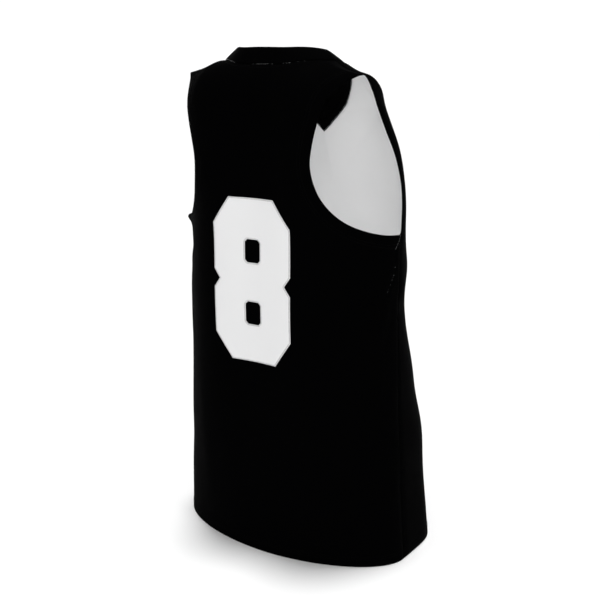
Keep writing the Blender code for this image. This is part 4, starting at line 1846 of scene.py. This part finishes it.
# ---------------------------------------------------------------- number
@dataclass
class BackNumber:
    """Block figure eight, cut from twill and applied to the back."""

    back: PanelCloth
    wardrobe: Wardrobe
    top: float = -0.158
    height: float = 0.2032
    half: float = 0.0552
    chamfer: tuple[float, float] = (0.0232, 0.0328)
    waist: tuple[float, float] = (0.0081, 0.0115)
    window: tuple[float, float] = (0.0111, 0.0143)
    window_chamfer: float = 0.0035
    window_centres: tuple[float, float] = (0.064, 0.141)
    cloth: float = 0.9 * MILLIMETRE
    clear: float = 0.3 * MILLIMETRE
    softened: float = 0.25 * MILLIMETRE
    crease: float = 50.0
    step: float = 3.0 * MILLIMETRE
    cut_shift: tuple[float, float] = (0.37, 0.41)
    cut_near: float = 1e-5
    weld: float = 2e-5
    sharpest: float = 0.2
    tack_step: float = 1.5 * MILLIMETRE

    def outlines(self) -> list[list[tuple[float, float]]]:
        """Draw the figure from its sizes.

        Returns:
            The outer outline and both windows, as loops of (x, height).
        """
        across, down = self.chamfer
        depth, half_gap = self.waist
        waist = self.height / 2.0
        right = [
            (self.half - across, 0.0), (self.half, down), (self.half, waist - half_gap),
            (self.half - depth, waist), (self.half, waist + half_gap),
            (self.half, self.height - down), (self.half - across, self.height),
        ]
        wide, tall = self.window
        cut = self.window_chamfer
        corner = [(wide - cut, -tall), (wide, cut - tall), (wide, tall - cut), (wide - cut, tall)]
        halves = [right]
        halves += [[(x, centre + drop) for x, drop in corner] for centre in self.window_centres]
        loops = [half + [(-x, drop) for x, drop in reversed(half)] for half in halves]
        return [[(x, self.top - drop) for x, drop in loop] for loop in loops]

    def skin(self, flat: np.ndarray, lift: float) -> np.ndarray:
        """Wrap flat places onto the back's face.

        Args:
            flat: Rows of x and height.
            lift: How far the points stand off the face.

        Returns:
            The points.
        """
        form = self.back.form

        def at(x: np.ndarray, z: np.ndarray) -> np.ndarray:
            """Depth of the folded face."""
            point = np.stack([x, form.depth(x, z), z], -1)
            return point[..., 1] + swell(form.girth_angle(point), z, MAIN_FOLDS + SOFT_FOLDS)

        x, z = flat[:, 0], flat[:, 1]
        y = at(x, z)
        rise_x = (at(x - NUDGE, z) - at(x + NUDGE, z)) / (2.0 * NUDGE)
        rise_z = (at(x, z - NUDGE) - at(x, z + NUDGE)) / (2.0 * NUDGE)
        normal = unit(np.stack([rise_x, np.ones_like(x), rise_z], 1))
        return np.stack([x, y, z], 1) + lift * normal

    def flat_mesh(self) -> bmesh.types.BMesh:
        """Fill the figure and cut it along a fine grid, so that it can bend.

        Returns:
            The flat mesh, in the XZ plane.
        """
        mesh = bmesh.new()
        edges = []
        for loop in self.outlines():
            ring = [mesh.verts.new((x, 0.0, z)) for x, z in loop]
            edges += [mesh.edges.new((a, b)) for a, b in zip(ring, ring[1:] + ring[:1])]
        bmesh.ops.triangle_fill(mesh, use_beauty=True, use_dissolve=True, edges=edges)
        shift_x, shift_z = (self.step * share for share in self.cut_shift)
        columns = np.arange(-self.half, self.half, self.step) + shift_x
        rows = np.arange(self.top - self.height, self.top, self.step) + shift_z
        cuts = [((float(x), 0, 0), (1, 0, 0)) for x in columns]
        cuts += [((0, 0, float(z)), (0, 0, 1)) for z in rows]
        for place, normal in cuts:
            everything = mesh.verts[:] + mesh.edges[:] + mesh.faces[:]
            bmesh.ops.bisect_plane(
                mesh, geom=everything, plane_co=place, plane_no=normal, dist=self.cut_near
            )
        bmesh.ops.remove_doubles(mesh, verts=mesh.verts[:], dist=self.weld)
        return mesh

    def build(self) -> bpy.types.Object:
        """Make the figure with a softly rounded cut edge.

        Returns:
            The piece.
        """
        mesh = self.flat_mesh()
        mesh.verts.index_update()
        mesh.verts.ensure_lookup_table()
        flat = np.array([(vert.co.x, vert.co.z) for vert in mesh.verts])
        count = len(flat)
        under = self.skin(flat, self.clear)
        rim = {v.index for e in mesh.edges if e.is_boundary for v in e.verts}
        lift = np.full(count, self.cloth + self.clear)
        lift[list(rim)] -= self.softened
        face = self.skin(flat, 0.0)
        over = face + (self.skin(flat, 1.0) - face) * lift[:, None]
        faces = []
        for polygon in mesh.faces:
            ring = [vert.index for vert in polygon.verts]
            if polygon.normal.y < 0.0:
                ring.reverse()
            faces += [[count + k for k in ring], ring[::-1]]
            for a, b in zip(ring, ring[1:] + ring[:1]):
                if mesh.edges.get((mesh.verts[a], mesh.verts[b])).is_boundary:
                    faces.append([a, b, count + b, count + a])
        mesh.free()
        points, uv = np.concatenate([under, over]), np.concatenate([flat, flat])
        piece = new_piece("number_eight", points, faces, uv, (self.wardrobe.number,))
        settle_normals(piece)
        piece.data.set_sharp_from_angle(angle=math.radians(self.crease))
        return dress(piece, ("back_number",))

    def tack_lines(self, inset: float, lift: float) -> list[np.ndarray]:
        """Lines within the figure's cut edges.

        Args:
            inset: Their distance from the edges.
            lift: How far they stand off the back's face.

        Returns:
            A line within the outer outline, and one round each window.
        """
        outer, *windows = (np.array(loop) for loop in self.outlines())
        rings = [self.offset(outer, -inset)] + [self.offset(ring, inset) for ring in windows]
        return [self.skin(ring, lift) for ring in rings]

    def offset(self, ring: np.ndarray, grow: float) -> np.ndarray:
        """Move a closed outline out.

        Args:
            ring: Corners of the outline.
            grow: How far it moves out.

        Returns:
            Fine, even points of the moved outline.
        """
        ahead = np.roll(ring, -1, axis=0)
        area = float(np.sum(ring[:, 0] * ahead[:, 1] - ahead[:, 0] * ring[:, 1]))
        edge = unit(ahead - ring)
        out = np.stack([edge[:, 1], -edge[:, 0]], 1) * math.copysign(1.0, area)
        before = np.roll(out, 1, axis=0)
        corner = out + before
        corner /= np.maximum(1.0 + np.sum(out * before, axis=1, keepdims=True), self.sharpest)
        moved = ring + grow * corner
        closed = np.concatenate([moved, moved[:1]])
        total = lengths_along(closed)[-1]
        return evenly(closed, np.linspace(0.0, 1.0, int(total / self.tack_step)))


# ---------------------------------------------------------------- sewing
# Where the pale reverse peeks out of the back neck seam, as shares of the seam's
# length from the wearer's left shoulder to the right one.
NECK_DASHES = ((0.015, 0.285),)
NECK_SPECKS = ((0.445, 0.585), (0.665, 0.705), (0.755, 0.775), (0.798, 0.812))
SPAN_POINTS = 12
# The same on the side seams, as heights from top to bottom.
SIDE_DASHES = ((-0.2035, -0.2175),)
SIDE_SPECKS = ((-0.2400, -0.2440), (-0.2490, -0.2680))
SIDE_SPAN_POINTS = 10


@dataclass
class Sewing:
    """All the rows of stitches, sewn over the finished cloth.

    Slants are shares of a stitch's length, and so is the part of an overlock loop
    that lies inside the edge, counted to the loop's middle.
    """

    front: PanelCloth
    back: PanelCloth
    band: Neckband
    number: BackNumber
    wardrobe: Wardrobe
    maker: StitchMaker = field(default_factory=StitchMaker)
    lift: float = 0.12 * MILLIMETRE
    neck_rows: tuple[float, float] = (3.4 * MILLIMETRE, 6.2 * MILLIMETRE)
    tack_insets: tuple[float, float] = (0.6 * MILLIMETRE, 1.6 * MILLIMETRE)
    tack_sunk: float = 0.10 * MILLIMETRE
    tack_slant: float = 0.25
    loop_inside: float = 0.35
    loop_slant: float = 0.45
    loop_stray: float = 0.5 * MILLIMETRE

    def sewn(
        self, name: str, paths: Sequence[np.ndarray], look: StitchLook,
        thread: bpy.types.Material, seed: int,
    ) -> bpy.types.Object:
        """Sew one named set of rows and put it on the frame.

        Args:
            name: Name of the piece.
            paths: Lines that the rows follow.
            look: Size and spacing of the stitches.
            thread: Finish of the thread.
            seed: Seed of the small unevenness.

        Returns:
            The piece.
        """
        return dress(self.maker.sew(name, paths, look, thread, seed))

    def edges(self) -> list[bpy.types.Object]:
        """Sew the twin-needle rows along the hem and the armholes.

        Returns:
            Hem and armholes of the front, then those of the back.
        """
        made, dark = [], self.wardrobe.dark_thread
        for panel, side in ((self.front, "front"), (self.back, "back")):
            for edge, turn in ((Edge.HEM, panel.hem_turn), (Edge.ARMHOLES, panel.arm_turn)):
                rows = []
                for away in (turn - panel.needle_gap, turn):
                    rows += panel.line_at(away, edge, self.lift)
                name = f"{side}_{edge.value}_stitches"
                made.append(self.sewn(name, rows, TWIN_NEEDLE, dark, seed=len(made)))
        return made

    def neck(self) -> list[bpy.types.Object]:
        """Sew the twin rows below the neck seam, and let the pale reverse peek from it in a grey
        that paints the seam's shade.

        Returns:
            The rows, and the dashes and specks of the reverse.
        """
        rows = []
        for panel in (self.back, self.front):
            middle, reach = panel.columns // 2, LAYOUT.neck_columns
            columns = slice(middle - reach, middle + reach + 1)
            lifted = panel.lifted(self.lift)[::-1, columns]
            for away in self.neck_rows:
                rows.append(PanelCloth.contour(np.swapaxes(lifted, 0, 1), lifted[0], away))
        seam = self.band.rails()[0][: self.band.stations + 1]
        seam = np.concatenate([seam[:0:-1] * MIRROR, seam])[::-1]
        # The peeks are the pale reverse in a grey thread: painted shade inside the seam.
        dark, shaded_peek = self.wardrobe.dark_thread, self.wardrobe.pale_peek_painted_shade
        made = [self.sewn("neck_stitches", rows, TWIN_NEEDLE, dark, seed=21)]
        for name, spans, look in (
            ("neck_seam_dashes", NECK_DASHES, PEEKING), ("neck_seam_specks", NECK_SPECKS, SPECKS),
        ):
            lines = [evenly(seam, np.linspace(start, end, SPAN_POINTS)) for start, end in spans]
            made.append(self.sewn(name, lines, look, shaded_peek, seed=5))
        return made

    def sides(self) -> list[bpy.types.Object]:
        """Let the pale reverse peek from the side seams under the arms, in a grey that paints the
        seam's shade.

        Returns:
            The dashes and the specks.
        """
        made = []
        for name, spans, look in (
            ("side_seam_dashes", SIDE_DASHES, SLIT), ("side_seam_specks", SIDE_SPECKS, SPECKS),
        ):
            paths = []
            for side, (high, low) in product((-1.0, 1.0), spans):
                z = np.linspace(high, low, SIDE_SPAN_POINTS)
                places = zip(side_seam_angle(z, side), z)
                paths.append(np.array([self.back.spot(angle, height) for angle, height in places]))
            # The grey overlock thread stands in for the pale reverse here, darker as painted shade
            # inside the seam.
            made.append(self.sewn(name, paths, look, self.wardrobe.overlock_thread, seed=9))
        return made

    def figure(self) -> list[bpy.types.Object]:
        """Sew close satin stitches over the figure's cut edge.

        Returns:
            The stitches, as one piece.
        """
        lift = self.number.cloth + self.number.clear - self.tack_sunk
        outer, inner = (self.number.tack_lines(inset, lift) for inset in self.tack_insets)
        paths = []
        for near, far in zip(outer, inner):
            toward = evenly(far, np.linspace(0.0, 1.0, len(near))) - near
            paths += stitches_across(near + 0.5 * toward, toward, SATIN, self.tack_slant, 0.0)
        thread = self.wardrobe.pale_thread
        return [self.sewn("number_satin", paths, SATIN, thread, seed=3)]

    def overlock(self, edges: Sequence[tuple[np.ndarray, np.ndarray]]) -> list[bpy.types.Object]:
        """Sew loops of thread over the free edges of the neck allowance.

        Args:
            edges: Each free edge with its outward direction.

        Returns:
            The loops, as one piece.
        """
        paths = []
        for edge, side in edges:
            middle = edge - self.loop_inside * OVERLOCK.length * side
            paths += stitches_across(middle, side, OVERLOCK, self.loop_slant, self.loop_stray)
        thread = self.wardrobe.overlock_thread
        return [self.sewn("neck_overlock", paths, OVERLOCK, thread, seed=31)]


# ---------------------------------------------------------------- studio
@dataclass
class Studio:
    """Plain floor, soft light and the camera, with angles in degrees.

    The sky's light fades from the horizon's to the ceiling's between the two angles
    of `sky_from`.
    """

    floor_half: float = 30.0
    floor_cells: int = 8
    floor_clear: float = 0.8 * MILLIMETRE
    camera_at: tuple[float, float, float] = (-0.6541, 0.9778, 0.0070)
    azimuth: float = 32.6
    pitch: float = 14.42
    focal_px: float = 958.0
    frame_px: float = 600.0
    sensor: float = 36.0
    clip: tuple[float, float] = (0.05, 200.0)
    horizon_light: float = 1.08
    sky_light: float = 0.42
    sky_from: tuple[float, float] = (7.0, 16.0)
    overhead: float = 2.1
    overhead_angle: float = 9.0
    overhead_lean: float = 1.2
    front_light: float = 21.0
    front_size: float = 1.6
    front_out: float = 2.6
    front_up: float = 0.55
    front_target: tuple[float, float, float] = (0.0, 0.0, -0.3)
    inside_light: float = 0.14
    inside_size: float = 0.12
    inside_at: tuple[float, float, float] = (0.03, -0.03, -0.37)
    inside_aim: tuple[float, float, float] = (-0.62, -0.50, 0.60)

    def build(self) -> None:
        """Make the floor, the lights and the camera."""
        self.floor()
        self.surroundings()
        self.lamps()
        self.camera()
        bpy.context.scene.view_settings.view_transform = "Standard"

    def floor(self) -> None:
        """A wide sheet of paper under the hem."""
        mesh = bmesh.new()
        cells = self.floor_cells
        bmesh.ops.create_grid(mesh, x_segments=cells, y_segments=cells, size=self.floor_half)
        down = (0.0, 0.0, LAYOUT.hem - self.floor_clear)
        bmesh.ops.translate(mesh, verts=mesh.verts[:], vec=down)
        data = bpy.data.meshes.new("floor")
        mesh.to_mesh(data)
        mesh.free()
        data.materials.append(FloorFinish().material())
        placed("floor", data)

    def surroundings(self) -> None:
        """White paper all round at eye level, with a dimmer ceiling above it."""
        world = bpy.data.worlds.new("studio")
        world.use_nodes = True
        nodes, links = world.node_tree.nodes, world.node_tree.links
        place = nodes.new("ShaderNodeTexCoord")
        split = nodes.new("ShaderNodeSeparateXYZ")
        fade = nodes.new("ShaderNodeMapRange")
        fade.interpolation_type = "SMOOTHSTEP"
        span = [math.sin(math.radians(angle)) for angle in self.sky_from]
        for key, value in enumerate((*span, self.horizon_light, self.sky_light), start=1):
            fade.inputs[key].default_value = value
        links.new(place.outputs["Generated"], split.inputs[0])
        links.new(split.outputs["Z"], fade.inputs[0])
        ground = nodes["Background"]
        ground.inputs["Color"].default_value = (1.0, 1.0, 1.0, 1.0)
        links.new(fade.outputs[0], ground.inputs["Strength"])
        bpy.context.scene.world = world

    def lamps(self) -> None:
        """A soft lamp above, a broad one over the camera and a small one in the hollow."""
        turn, lean = math.radians(self.azimuth), math.tan(math.radians(self.overhead_lean))
        down = Vector((-lean * math.sin(turn), lean * math.cos(turn), -1.0))
        above = self.lamp("overhead", "SUN", down, self.overhead)
        above.data.angle = math.radians(self.overhead_angle)
        broad = (-self.front_out * math.sin(turn), self.front_out * math.cos(turn), self.front_up)
        aim = Vector(self.front_target) - Vector(broad)
        for name, place, toward, size, power in (
            ("broad_front", broad, aim, self.front_size, self.front_light),
            ("hollow", self.inside_at, Vector(self.inside_aim), self.inside_size, self.inside_light),
        ):
            disk = self.lamp(name, "AREA", toward, power)
            disk.location = place
            disk.data.shape, disk.data.size = "DISK", size
            disk.visible_camera = False

    @staticmethod
    def lamp(name: str, kind: str, aim: Vector, power: float) -> bpy.types.Object:
        """Set up one light at the origin.

        Args:
            name: Name of the light.
            kind: The light's type.
            aim: Which way it shines.
            power: Its power.

        Returns:
            The light's object.
        """
        holder = placed(name, bpy.data.lights.new(name, kind))
        holder.data.energy = power
        holder.rotation_euler = aim.to_track_quat("-Z", "Y").to_euler()
        return holder

    def camera(self) -> None:
        """The camera at the photograph's place."""
        lens = bpy.data.cameras.new("camera")
        lens.sensor_width = self.sensor
        lens.lens = self.focal_px / self.frame_px * self.sensor
        lens.clip_start, lens.clip_end = self.clip
        holder = placed("camera", lens)
        turn, tilt = math.radians(self.azimuth), math.radians(self.pitch)
        ahead = Vector((
            math.sin(turn) * math.cos(tilt), -math.cos(turn) * math.cos(tilt), -math.sin(tilt)
        ))
        holder.location = self.camera_at
        holder.rotation_mode = "QUATERNION"
        holder.rotation_quaternion = ahead.to_track_quat("-Z", "Y")
        bpy.context.scene.camera = holder


def main() -> None:
    """Build the jersey's pieces in order."""
    logging.basicConfig(level=logging.INFO, format="%(name)s: %(message)s")
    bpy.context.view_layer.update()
    Studio().build()
    wardrobe = Wardrobe()
    front = PanelCloth("front_cloth", "front_panel", FRONT_FORM, wardrobe)
    back = PanelCloth("back_cloth", "back_panel", BACK_FORM, wardrobe)
    front_piece, back_piece = front.build(), back.build()
    band = Neckband(wardrobe)
    band_piece = band.build()
    number = BackNumber(back, wardrobe)
    number_piece = number.build()
    allowance = NeckAllowance(wardrobe, band)
    front_allowance, front_edge = allowance.build(front, "front_neck_allowance")
    back_allowance, back_edge = allowance.build(back, "back_neck_allowance")

    sewing = Sewing(front, back, band, number, wardrobe)
    edge_rows, neck_rows, side_rows = sewing.edges(), sewing.neck(), sewing.sides()
    tacks = sewing.figure()
    overlock = sewing.overlock((front_edge, back_edge))

    edge_rows[:2] + [front_allowance]
    edge_rows[2:] + side_rows + [back_allowance]
    neck_rows + overlock


if __name__ == "__main__":
    main()
